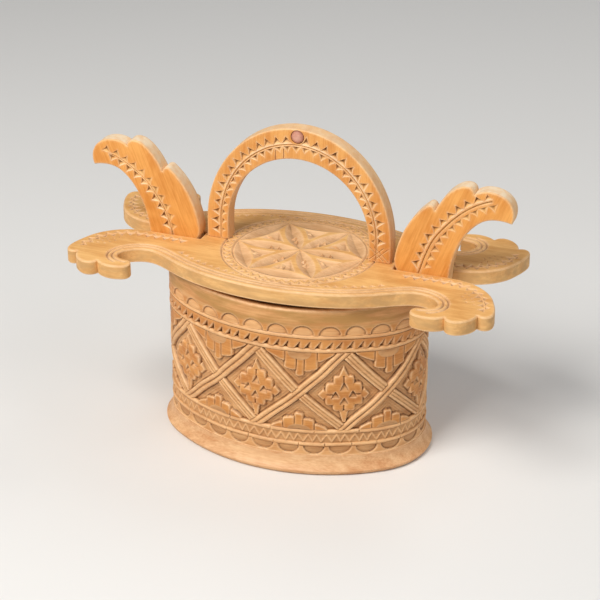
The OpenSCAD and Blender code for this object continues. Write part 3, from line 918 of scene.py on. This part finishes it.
# How deep each point lies below a face, by the face's hollows, chips and knife lines. A chip with a depth
# below nothing is a stud left standing
def cut_depth(points, chips, cuts, hollows):
    depth = np.zeros(len(points))
    for lines, depth_at in hollows:
        depth = np.maximum(depth, depth_at(points))
    for corners, low, deep in chips:
        near = np.where(np.all((points >= corners.min(axis=0)) & (points <= corners.max(axis=0)), axis=1))[0]
        for a, b in zip(corners, np.roll(corners, -1, axis=0)):
            area = cross(b - a, low - a)
            share_low = cross(b - a, points[near] - a) / area
            share_b = cross(points[near] - a, low - a) / area
            hit = (share_low >= -0.001) & (share_b >= -0.001) & (share_low + share_b <= 1.001)
            cut = deep * share_low[hit]
            before = depth[near[hit]]
            depth[near[hit]] = np.maximum(before, cut) if deep > 0 else np.maximum(before + cut, 0)
    for lines, half, deep in cuts:
        finder = tree_of(np.concatenate([close_points(line) for line in lines]))
        depth = np.maximum(depth, deep * np.clip(1 - distances(finder, points) / half, 0, 1))
    return depth


# One flat face of a board, cut into triangles that follow its outline, holes, chips, knife lines and hollows.
# Step is the size of the triangles and roll the radius of the rounded edge. A cut is its lines, half its
# width and its depth, and a hollow its lines and a rule for its depth
def carved_face(outline, chips, cuts, step, roll, holes=(), hollows=()):
    points = []
    edges = []

    def add_line(line, closed=False):
        first = sum(len(part) for part in points)
        points.append(line)
        numbers = list(range(first, first + len(line)))
        edges.extend(zip(numbers, numbers[1:]))
        if closed:
            edges.append((numbers[-1], first))
        return numbers

    rim_numbers = [add_line(loop, True) for loop in (outline, *holes)]
    for corners, low, deep in chips:
        *others, last, lowest = add_line(np.concatenate([corners, [low]]))
        edges.append((others[0], last))
        edges.extend((corner, lowest) for corner in others)
    for lines, half, deep in cuts:
        for line in lines:
            for side in (0, -1, 1):
                add_line(line + left_of(line) * side * half)
    for lines, depth_at in hollows:
        for line in lines:
            add_line(line)
    rim = rim_of(outline)
    for share in (0.12, 0.35, 0.7, 1.0):
        ring = outline + left_of(outline, True) * roll * share
        points.append(ring[distances(rim, ring) > 0.93 * roll * share])
    low = outline.min(axis=0)
    high = outline.max(axis=0)
    grid = []
    for number, y in enumerate(np.arange(low[1], high[1], step * 0.866)):
        x = np.arange(low[0] + (number % 2) * step / 2, high[0], step)
        grid.append(np.column_stack([x, np.full(len(x), y)]))
    grid = np.concatenate(grid)
    grid = grid[inside_of(outline, grid)]
    points.append(grid[distances(rim, grid) > roll + 0.3 * step])
    flat = np.concatenate(points)
    found, _, triangles, origin, _, _ = delaunay_2d_cdt(
        [Vector(point) for point in flat.tolist()], edges, [], 1, 0.0001, True,
    )
    found = np.array([point[:] for point in found])
    triangles = np.array(triangles)
    number_of = np.full(len(flat), -1)
    for number, sources in enumerate(origin):
        number_of[list(sources)] = number

    # Only triangles inside the outline and outside the holes stay
    on_rim = np.where(np.isin(triangles, number_of[:len(outline)]).all(axis=1))[0]
    outside = on_rim[~inside_of(outline, found[triangles[on_rim]].mean(axis=1))]
    triangles = np.delete(triangles, outside, axis=0)
    for hole in holes:
        triangles = triangles[~inside_of(hole, found[triangles].mean(axis=1))]
    used, compact = np.unique(triangles, return_inverse=True)
    new_number = np.full(len(found), -1)
    new_number[used] = np.arange(len(used))
    found = found[used]
    triangles = compact.reshape(-1, 3)
    rims = [new_number[number_of[numbers]] for numbers in rim_numbers]

    away = np.minimum(distances(rim, found), roll)
    rounded = roll - np.sqrt(np.clip(roll ** 2 - (roll - away) ** 2, 0, None))
    depth = np.maximum(cut_depth(found, chips, cuts, hollows), rounded)
    pairs = np.concatenate([triangles[:, sides] for sides in ([0, 1], [1, 2], [2, 0])])
    sunk, worn = hollows_and_crests(-depth, np.unique(np.sort(pairs, axis=1), axis=0), rounds=5, full=0.35)
    inner = away >= roll * 0.98
    # Painted shade and dust darken the hollows, more the deeper the cut; wear and a painted highlight pale
    # the crests and the rounded edge
    values = {
        "sunk": np.maximum(sunk, np.clip((depth - 0.3) / 3, 0, 0.8)) * inner,
        "worn": np.maximum(worn, np.clip(1 - away / roll, 0, 1) * 0.7),
        "skin": np.where(inner, np.clip(1 - depth / 0.3, 0, 1), 0.6),
        "aged": np.zeros(len(found)),
    }
    return found, triangles, depth, rims, values


# A board between two carved faces at their levels. Placed turns a face's two directions and its height into
# the frame. Edge gives the values of the sawn edge, and a further share how much paler its edge is made where
# it faces up: wear with a painted highlight
def carved_board(name, front, back, levels, placed, wood, edge, top_wear_and_highlight=0.0, hole_deep=7.0):
    front_points, front_faces, front_deep, front_rims, front_values = front
    back_points, back_faces, back_deep, back_rims, back_values = back
    front_level, back_level = levels
    count = len(front_points)
    points = [
        np.column_stack([front_points, front_level - front_deep]),
        np.column_stack([back_points, back_level + back_deep]),
    ]
    faces = front_faces.tolist() + (back_faces[:, ::-1] + count).tolist()

    def add_points(more):
        first = sum(len(part) for part in points)
        points.append(more)
        return np.arange(first, first + len(more))

    def wall_between(above, below):
        faces.extend(np.stack([below, np.roll(below, -1), np.roll(above, -1), above], axis=1).tolist())

    upper = points[0][front_rims[0]]
    lower = points[1][back_rims[0]]
    edge_shares = (0.03, 0.35, 0.65, 0.97)
    rows = [add_points(upper * (1 - share) + lower * share) for share in edge_shares]
    rows = [front_rims[0], *rows, back_rims[0] + count]
    for above, below in zip(rows, rows[1:]):
        wall_between(above, below)
    for rims, first, level in (
        (front_rims[1:], 0, front_level - hole_deep), (back_rims[1:], count, back_level + hole_deep),
    ):
        for rim in rims:
            mouth = rim + first
            outline = np.concatenate(points[:2])[mouth, :2]
            floor = add_points(np.column_stack([outline, np.full(len(rim), level)]))
            wall_between(floor, mouth)
            faces.append(floor.tolist())
    piece = mesh_object(name, (placed(np.concatenate(points)) * mm).tolist(), faces)
    added = sum(len(part) for part in points[2:])
    edge_values = {key: np.full(added, value) for key, value in edge.items()}
    looks_up = np.tile(np.clip(-left_of(upper[:, :2], True)[:, 1], 0, 1), len(edge_shares))
    # The edge is made paler where it faces up: wear with a painted highlight from the light above
    edge_values["worn"][:len(looks_up)] += top_wear_and_highlight * looks_up
    point_values(piece.data, **{
        key: np.concatenate([front_values[key], back_values[key], edge_values[key]]) for key in edge
    })
    turned_outwards(piece)
    piece.data.materials.append(wood)
    return piece


# Stands a board up: its face's second direction is height, and it faces the front
def stood_up(points):
    return np.column_stack([points[:, 0], -points[:, 2], points[:, 1]])


# Sawn edges are made paler all round: wear with a painted highlight
sawn_edge = {"sunk": 0.0, "worn": 0.4, "skin": 0.5, "aged": 0.0}
grain_lean = 0.35
row_foot = 120.0
line_end = 116.0
right_line = [
    (75.2, 118), (76.2, 121.5), (79, 130.4), (83.4, 140.5), (89.2, 148.5), (95, 155), (102, 161.2),
    (108.4, 165.4), (114.8, 168.2), (123, 170.4),
]
left_line = [
    (-78, 118), (-78.8, 121.5), (-81, 129.4), (-84, 136), (-88, 142.5), (-93.5, 149.8), (-97.5, 153.6),
    (-104, 158.4), (-110.4, 162), (-118, 164.8), (-124, 165.4),
]
for name, side, line, (upper_deep, upper_gap), (lower_deep, lower_gap) in (
    ("right_post", 1, right_line, (1.9, 1.4), (1.0, 2.0)),
    ("left_post", -1, left_line, (1.0, 0.5), (1.8, 0.4)),
):
    outline = eased(end_face_outline(name, 1, -1), 0.7)
    leaf_line = eased(np.array(line), 0.6, closed=False)
    row_line = leaf_line[leaf_line[:, 1] > row_foot]
    knife_line = leaf_line[np.abs(leaf_line[:, 0]) < line_end]
    rows = leaning_chips(row_line, pitch=6.1, wide=6.0, high=4.2, deep=upper_deep, gap=upper_gap, side=side)
    rows += leaning_chips(
        row_line, pitch=6.1, wide=5.8, high=4.0, deep=lower_deep, gap=lower_gap, side=-side, start=1.5,
    )
    post_wood = birch(
        name.replace("_", " ") + " birch", pale=(242, 194, 124), deep=(226, 166, 92), dust=(124, 70, 28),
        wear_and_highlight_tint=(238, 216, 184), turn=(0, math.pi / 2 - side * grain_lean, 0),
        skin=((240, 172, 90), (216, 140, 60)), figure=6.0, dusty=0.75, wear_and_highlight_share=0.8,
    )
    chips = clear_of_edge(rows, outline, margin=1.1)
    leaf = carved_face(outline, chips, [([knife_line], 0.7, 0.75)], step=0.55, roll=0.9)
    piece = carved_board(
        name + "_leaf", leaf, leaf, (post_half, -post_half), stood_up, post_wood, sawn_edge, top_wear_and_highlight=1.0,
    )
    finished(piece, name, name, crease=30)


# Lid. One thick board of birch with four scroll arms, an eye behind each scroll and an open slot at each end
# for the posts. Its edge is rounded, and a compass-drawn rosette and rows of small chips are cut in its top.
lid_wood = birch(
    "lid birch", pale=(238, 194, 146), deep=(212, 164, 114), dust=(112, 82, 54), wear_and_highlight_tint=(248, 216, 172),
    skin=((236, 186, 118), (212, 154, 86)), aged=(196, 150, 92), figure=6.0, dusty=0.55,
)
lid_low, lid_high = box_of("lid_board")
lid_outline = eased(end_face_outline("lid_board", 2, 1), 0.8)
lid_edge = {"sunk": 0.0, "worn": 0.1, "skin": 1.0, "aged": 1.0}
rose = np.array([1.2, 0.0])
rose_radius = 39.0
petal_slope = 0.54
rim_leaf_slope = 0.42
gap_deep = 3.0
stud_high = 1.2
bud_high = 1.3


def around(angle, radius, centre=rose):
    return centre + radius * np.column_stack([np.cos(angle), np.sin(angle)])


# A leaf-shaped hollow between two points: two arcs as wide as the compass was set, cut to a V in the middle
def leaf_hollow(start, end, slope):
    length = np.linalg.norm(end - start)
    way = (end - start) / length
    off = square_to(way)

    def half_width(along):
        reach = np.sqrt(np.clip(length ** 2 - (along - length / 2) ** 2, 0, None))
        return reach - length * math.cos(math.pi / 6)

    def depth_at(points):
        along = (points - start) @ way
        aside = np.abs((points - start) @ off)
        return slope * np.clip(half_width(along) - aside, 0, None)

    along = np.linspace(0, length, 25)[:, None]
    return [start + along * way + side * half_width(along) * off for side in (-1, 0, 1)], depth_at


rose_hollows = []
rose_chips = []
for number in range(6):
    tip, next_tip, gap = around(math.pi / 3 * np.array([number, number + 1, number + 0.5]), rose_radius)
    rose_hollows.append(leaf_hollow(rose, tip, petal_slope))
    rose_hollows.append(leaf_hollow(tip, next_tip, rim_leaf_slope))
    way = (tip - rose) / rose_radius
    off = square_to(way)
    for reach, size in ((13.5, 0.8), (18.5, 1.1)):
        bud = rose + way * reach
        sides = (-2.2 * way, 2.0 * off, 2.0 * way, -2.0 * off)
        rose_chips.append((bud + size * np.array(sides), bud + (0.6, 0.0), -bud_high))
    way = (gap - rose) / rose_radius
    off = square_to(way)
    pit = np.array([rose + way * 15.0, rose + way * 28.5 - off * 7.5, rose + way * 28.5 + off * 7.5])
    rose_chips.append((pit, rose + way * 24.0 + (3.0, -0.6), gap_deep))
    inner_end = rose + way * 22.0
    outer_end = rose + way * 25.5
    stud = np.array([
        inner_end + (-3.4, 0.6), outer_end + (-3.4, -1.2), outer_end + (-0.6, -1.2), inner_end + (-0.6, 0.6),
    ])
    rose_chips.append((stud, stud.mean(axis=0), -stud_high))

full_turn = np.linspace(0, 2 * math.pi, 181)
rings = [around(full_turn, 39.4), around(full_turn, 46.0)]
small_chips = chips_along(around(full_turn, 40.5), pitch=5.0, wide=4.4, high=3.2, deep=1.2, gap=0.0, side=-1)
small_chips += chips_along(
    around(full_turn, 45.0), pitch=5.56, wide=4.6, high=3.0, deep=1.2, gap=0.0, side=1, start=2.78,
)


# The run of the outline from the point nearest one place to the point nearest another
def edge_run(start, end):
    first, last = (int(np.argmin(np.linalg.norm(lid_outline - place, axis=1))) for place in (start, end))
    if last < first:
        last += len(lid_outline)
    return lid_outline[np.arange(first, last + 1) % len(lid_outline)]


# A line at a distance inside a run of the outline, without the loops that it makes in tight bends
def set_in(run, distance):
    line = run + left_of(run) * distance
    return line[distances(tree_of(lid_outline), line) > distance - 0.35]


# Oblong nicks across a line, as wide as the gouge
def oblong_nicks(line, pitch, long, wide, deep):
    nicks = []
    for spot, way in places_along(line, pitch):
        off = square_to(way)
        sides = (-off * long / 2, way * wide / 2, off * long / 2, -way * wide / 2)
        nicks.append((spot + np.array(sides), spot, deep))
    return nicks


shoulder_x = 88.0
shoulder_y = 47.5
edge_cuts = []
for front in (-1, 1):
    run = edge_run((shoulder_x * front, shoulder_y * front), (-shoulder_x * front, shoulder_y * front))
    edge_cuts += [set_in(run, distance) for distance in (3.2, 6.0)]
    row = set_in(run, 9.0)
    row = row[np.abs(row[:, 0]) < 66]
    small_chips += chips_along(row, pitch=5.2, wide=4.8, high=3.0, deep=1.2, gap=0.0, side=1)
    for side in (-1, 1):
        slot_end = (66.0 * side, 5.6 * front)
        arm_end = (128.5 * side, 43.0 * front)
        run = edge_run(arm_end, slot_end) if side * front < 0 else edge_run(slot_end, arm_end)
        row = set_in(run, 5.6)
        small_chips += chips_along(row, pitch=5.6, wide=5.4, high=4.0, deep=1.4, gap=0.1, side=1)
        small_chips += chips_along(row, pitch=5.6, wide=5.4, high=3.0, deep=1.1, gap=0.1, side=-1, start=2.8)
        for distance in (11.6, 15.4):
            row = set_in(run, distance)
            row = row[(np.abs(row[:, 0]) > 104) & (np.abs(row[:, 1]) > 18)]
            if len(row) > 8:
                small_chips += oblong_nicks(row, pitch=3.6, long=2.6, wide=1.3, deep=0.8)

lid_top = carved_face(
    lid_outline, rose_chips + small_chips, [(rings, 0.9, 0.7), (edge_cuts, 1.0, 0.9)], step=0.62, roll=1.1,
    hollows=rose_hollows,
)
wedge_names = ("left_handle_wedge", "right_handle_wedge")
mortises = []
for name in wedge_names:
    middle = np.mean(box_of(name), axis=0)[:2]
    mortises.append(middle + np.array([(-4.1, -3.1), (4.1, -3.1), (4.1, 3.1), (-4.1, 3.1)]))
lid_under = carved_face(lid_outline, [], [], step=3.0, roll=1.0, holes=mortises)
lid = carved_board(
    "lid_board_wood", lid_top, lid_under, (lid_high[2], lid_low[2]), lambda points: points, lid_wood,
    lid_edge,
)
finished(lid, "lid_board", "lid", crease=30)


# Handle. An arch sawn from one birch board, with a knife line along its face and chips back to back on either
# side of it. A tenon under each leg goes through the lid and is wedged from below.
handle_wood = birch(
    "handle birch", pale=(240, 194, 130), deep=(224, 166, 98), dust=(124, 70, 28), wear_and_highlight_tint=(238, 216, 184),
    turn=(0, math.pi / 2, 0), skin=((234, 170, 94), (212, 140, 66)), figure=6.0, dusty=0.75, wear_and_highlight_share=0.8,
)
handle_low, handle_high = box_of("handle")
handle_outline = eased(end_face_outline("handle", 1, -1), 0.7)
lid_top_z = lid_high[2]
arch_half = 48.2
arch_rise = 54.2
arch_turn = np.linspace(0, math.pi, 60)
arch = np.column_stack([arch_half * np.cos(arch_turn), lid_top_z + 11.5 + arch_rise * np.sin(arch_turn)])


# The arch's line with a straight leg down to a height above the lid on either side
def with_legs(right_foot, left_foot):
    right_leg = (arch_half, lid_top_z + right_foot)
    left_leg = (-arch_half, lid_top_z + left_foot)
    return np.concatenate([[right_leg], arch, [left_leg]])


row_line = with_legs(10, 2)
handle_chips = leaning_chips(row_line, pitch=5.7, wide=5.6, high=4.9, deep=2.0, gap=0.8, side=-1)
handle_chips += leaning_chips(row_line, pitch=5.7, wide=5.2, high=3.7, deep=1.4, gap=0.7, side=1)
plug_low, plug_high = box_of("crown_plug")
plug_middle = ((plug_low + plug_high) / 2)[[0, 2]]
plug_radius = (plug_high[0] - plug_low[0]) / 2
bore = around(np.linspace(0, 2 * math.pi, 33)[:-1], plug_radius + 0.1, plug_middle)
handle_chips = [
    chip for chip in clear_of_edge(handle_chips, handle_outline, margin=0.8)
    if np.min(np.linalg.norm(chip[0] - plug_middle, axis=1)) > plug_radius + 0.5
]
arch_cut = ([with_legs(0.6, 0.6)], 0.6, 0.6)
leg_foot = lid_top_z + 1.5
crossed_lines = []
for shift in (-1.5, 1.5):
    crossed_lines.append(np.array([(46.0 + shift, leg_foot), (54.0 + shift, leg_foot + 7.5)]))
    crossed_lines.append(np.array([(54.0 + shift, leg_foot), (46.0 + shift, leg_foot + 7.5)]))
cracks = []
for crack_x in (-13.5, -8.5):
    crack_low = handle_outline[np.abs(handle_outline[:, 0] - crack_x) < 0.8][:, 1].min() + 0.4
    cracks.append(np.array([(crack_x, crack_low), (crack_x, crack_low + 6.0)]))
handle_cuts = [arch_cut, (crossed_lines, 0.45, 0.5), (cracks, 0.25, 0.8)]
handle_front = carved_face(handle_outline, handle_chips, handle_cuts, step=0.5, roll=0.8, holes=[bore])
handle_back = carved_face(handle_outline, handle_chips, [arch_cut], step=0.5, roll=0.8)
handle = carved_board(
    "handle_arch", handle_front, handle_back, (-handle_low[1], -handle_high[1]), stood_up, handle_wood,
    sawn_edge, top_wear_and_highlight=0.3,
)
finished(handle, "handle", "lid", crease=30)


# Tenons and wedges. Each leg of the handle ends in a flat tenon that goes through the lid, split by a thin
# wedge of birch that is driven in from below and trimmed flush.
tenon_half = 3.9
tenon_thick = 2.9
tenon_top = lid_low[2] + 6.9
tenon_low = lid_low[2] + 0.15
split_play = 0.1
points = []
faces = []
for name in wedge_names:
    wedge_low, wedge_high = box_of(name)
    middle = (wedge_low + wedge_high) / 2
    split = (wedge_high[0] - wedge_low[0]) / 2 + split_play
    split_tip = split * 0.36
    split_top = wedge_high[2] + split_play
    section = [
        (-tenon_half, tenon_top), (-tenon_half, tenon_low), (-split, tenon_low), (-split_tip, split_top),
        (split_tip, split_top), (split, tenon_low), (tenon_half, tenon_low), (tenon_half, tenon_top),
    ]
    count = len(section)
    front_face = [len(points) + k for k in range(count)]
    back_face = [number + count for number in front_face]
    for y in (middle[1] - tenon_thick, middle[1] + tenon_thick):
        points.extend((middle[0] + x, y, z) for x, z in section)
    faces += [front_face, back_face[::-1]]
    faces += [
        [front_face[k], front_face[k - 1], back_face[k - 1], back_face[k]] for k in range(count)
    ]
tenons = mesh_object("handle_tenons", (np.array(points) * mm).tolist(), faces)
turned_outwards(tenons)
end_grain = birch(
    "end grain birch", pale=(222, 168, 100), deep=(196, 136, 74), dust=(118, 64, 24), wear_and_highlight_tint=(240, 196, 134),
    turn=(math.pi / 2, 0, 0), figure=4.5,
)
tenons.data.materials.append(end_grain)
finished(tenons, "handle", "lid")
wedge_wood = birch(
    "wedge birch", pale=(206, 152, 108), deep=(180, 124, 82), dust=(118, 64, 24), wear_and_highlight_tint=(232, 184, 136),
    turn=(0, math.pi / 2, 0), figure=4.0,
)
for name in wedge_names:
    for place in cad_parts[name].material_slots:
        place.material = wedge_wood


# Pegs. Whittled birch pegs, twelve knife faces round and a head left domed: four through the band into the
# bottom board, five through the band's lap at the back, one through each post's foot, and the crown plug.
knife_faces = 12


def whittled_peg(name, radius, length, dome):
    # Painted shade round the rim of each head and a painted highlight on its dome
    shaded_rim = [0, 0, 0, 1, 0.7, 0.2, 0, 0]
    lit_head = [0, 0, 0, 0, 0, 0.2, 0.6, 0.8]
    rings = [(0.0, 0.86 * radius), (0.06 * length, 0.97 * radius), (0.5 * length, radius)]
    for turn in np.radians([0, 20, 38, 56, 74]):
        rings.append((length + dome * (math.sin(turn) - 0.5), 0.99 * radius * math.cos(turn)))
    points = []
    for height, wide in rings:
        for angle in np.arange(knife_faces) * 2 * math.pi / knife_faces:
            uneven = wide * (1 - 0.02 * math.sin(5 * angle + 1.0))
            points.append((uneven * math.cos(angle), uneven * math.sin(angle), height))
    index = np.arange(len(points)).reshape(-1, knife_faces)
    ahead = np.roll(index, -1, axis=1)
    faces = [index[0][::-1].tolist(), index[-1].tolist()]
    faces += np.stack([index[:-1], ahead[:-1], ahead[1:], index[1:]], axis=-1).reshape(-1, 4).tolist()
    piece = mesh_object(name, points, faces)
    point_values(piece.data, sunk=np.repeat(shaded_rim, knife_faces), worn=np.repeat(lit_head, knife_faces))
    return piece


# Sets a peg at each point, its head along the point's own direction
def pegs_driven_tree():
    tree, given, result = new_tree(
        "pegs driven in", "GeometryNodeTree", {"Geometry": "Geometry", "Peg": "Object", "Wood": "Material"},
        {"Geometry": "Geometry"},
    )
    way = node_of(tree, "GeometryNodeInputNamedAttribute", {"Name": "way"}, data_type="FLOAT_VECTOR")
    turned = node_of(tree, "FunctionNodeAlignRotationToVector", {"Vector": way.outputs[0]}, axis="Z")
    peg = node_of(tree, "GeometryNodeObjectInfo", {"Object": given["Peg"]})
    placed = {
        "Points": given["Geometry"], "Instance": peg.outputs["Geometry"], "Rotation": turned.outputs[0],
    }
    driven = node_of(tree, "GeometryNodeInstanceOnPoints", placed)
    end_in_wood(tree, driven.outputs[0], given["Wood"], result)
    return tree


# Foot, direction, radius and length of every round peg in a node; the head is the end farther from the heart
# of the wood that it is driven into
def pegs_in(node, heart):
    solid = joined_solid(node)
    left = set(solid.verts)
    pegs = []
    for first in solid.verts:
        if first not in left:
            continue
        left.discard(first)
        group = [first]
        for vert in group:
            for edge in vert.link_edges:
                other = edge.other_vert(vert)
                if other in left:
                    left.discard(other)
                    group.append(other)
        spots = np.array([vert.co[:] for vert in group])
        middle = (spots.min(axis=0) + spots.max(axis=0)) / 2
        ways = np.linalg.svd(spots - spots.mean(axis=0))[2]
        spans = [np.ptp(spots @ way) for way in ways]
        across = np.median(spans)
        odd = int(np.argmax(np.abs(spans - across)))
        outwards = ways[odd] @ ((middle - heart) * (1, 1, 0)) >= 0
        way = ways[odd] if outwards else -ways[odd]
        pegs.append((middle - way * spans[odd] / 2, way, across / 2, spans[odd]))
    solid.free()
    return sorted(pegs, key=lambda peg: tuple(np.round(peg[0], 5)))


peg_wood = birch(
    "peg birch", pale=(196, 132, 88), deep=(164, 104, 66), dust=(84, 46, 22), wear_and_highlight_tint=(224, 168, 122),
    turn=(math.pi / 2, 0, 0), figure=4.0,
)
plug_wood = birch(
    "plug birch", pale=(214, 152, 128), deep=(180, 112, 90), dust=(84, 44, 30), wear_and_highlight_tint=(240, 196, 174),
    turn=(math.pi / 2, 0, 0), figure=4.0,
)
pegs_driven = pegs_driven_tree()
box_heart = np.zeros(3)
handle_heart = np.mean(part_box("handle"), axis=0)
for node, body, dome, heart, wood in (
    ("base_pegs", "box", 0.4, box_heart, peg_wood),
    ("lap_pegs_back", "box", 0.4, box_heart, peg_wood),
    ("left_post_peg", "left_post", 0.3, box_heart, peg_wood),
    ("right_post_peg", "right_post", 0.3, box_heart, peg_wood),
    ("crown_plug", "lid", 2.0, handle_heart, plug_wood),
):
    feet, ways, radii, lengths = zip(*pegs_in(node, heart))
    peg_shape = whittled_peg("peg shape", float(radii[0]), float(lengths[0]), dome * mm)
    piece = mesh_object(node + "_wood", [tuple(foot) for foot in feet], [])
    point_values(piece.data, way=np.array(ways))
    shaped_by(piece, pegs_driven, peg=peg_shape, wood=wood)
    bpy.data.objects.remove(peg_shape)
    finished(piece, node, body, crease=50)


# Studio. A plain pale floor, one soft key light from the front left, a weak fill from the right and a weaker
# rim light behind, and the camera of the picture.
floor = mesh_object("floor", [(-6, -6, 0), (6, -6, 0), (6, 6, 0), (-6, 6, 0)], [(0, 1, 2, 3)])
floor_paint = bpy.data.materials.new("pale floor")
floor_paint.use_nodes = True
floor_shader = floor_paint.node_tree.nodes["Principled BSDF"]
floor_shader.inputs["Base Color"].default_value = (0.8, 0.8, 0.79, 1)
floor_shader.inputs["Roughness"].default_value = 0.7
floor.data.materials.append(floor_paint)

picture_wide = 600
focal_pixels = 1800.28
view_high = 85.58
view_aside = 1.15
view_far = 1071.27
turn = math.radians(20.25)
tilt = math.radians(26.7)
right = Vector((math.cos(turn), math.sin(turn), 0))
back = Vector((math.sin(turn) * math.cos(tilt), -math.cos(turn) * math.cos(tilt), math.sin(tilt)))
up = back.cross(right)
camera_data = bpy.data.cameras.new("camera")
camera_data.sensor_width = 36
camera_data.lens = focal_pixels / picture_wide * camera_data.sensor_width
camera_data.clip_end = 50
camera = bpy.data.objects.new("camera", camera_data)
spot = (Vector((0, 0, view_high)) + right * view_aside + back * view_far) * mm
camera.matrix_world = Matrix.Translation(spot) @ Matrix((right, up, back)).transposed().to_4x4()
bpy.context.scene.collection.objects.link(camera)
bpy.context.scene.camera = camera


# A square lamp that looks at the box from a direction, in degrees, and a distance, in metres
def soft_light(name, azimuth, height, distance, size, power, colour):
    lamp = bpy.data.lights.new(name, "AREA")
    lamp.size = size
    lamp.energy = power
    lamp.color = colour
    lamp_object = bpy.data.objects.new(name, lamp)
    a = math.radians(azimuth)
    e = math.radians(height)
    aim = Vector((math.sin(a) * math.cos(e), -math.cos(a) * math.cos(e), math.sin(e)))
    lamp_object.location = Vector((0, 0, 0.08)) + aim * distance
    lamp_object.rotation_euler = aim.to_track_quat("Z", "Y").to_euler()
    bpy.context.scene.collection.objects.link(lamp_object)


soft_light("key light", -24, 50, distance=1.8, size=0.9, power=32, colour=(1, 0.97, 0.93))
soft_light("rim light", 150, 50, distance=1.8, size=0.8, power=4.5, colour=(1, 0.98, 0.96))
soft_light("fill light", 75, 38, distance=2.0, size=1.4, power=9, colour=(1, 1, 1))
world = bpy.data.worlds.new("room light")
world.use_nodes = True
sky = world.node_tree.nodes["Background"]
sky.inputs["Color"].default_value = (0.92, 0.93, 0.95, 1)
sky.inputs["Strength"].default_value = 0.18
bpy.context.scene.world = world
bpy.context.scene.view_settings.view_transform = "Standard"
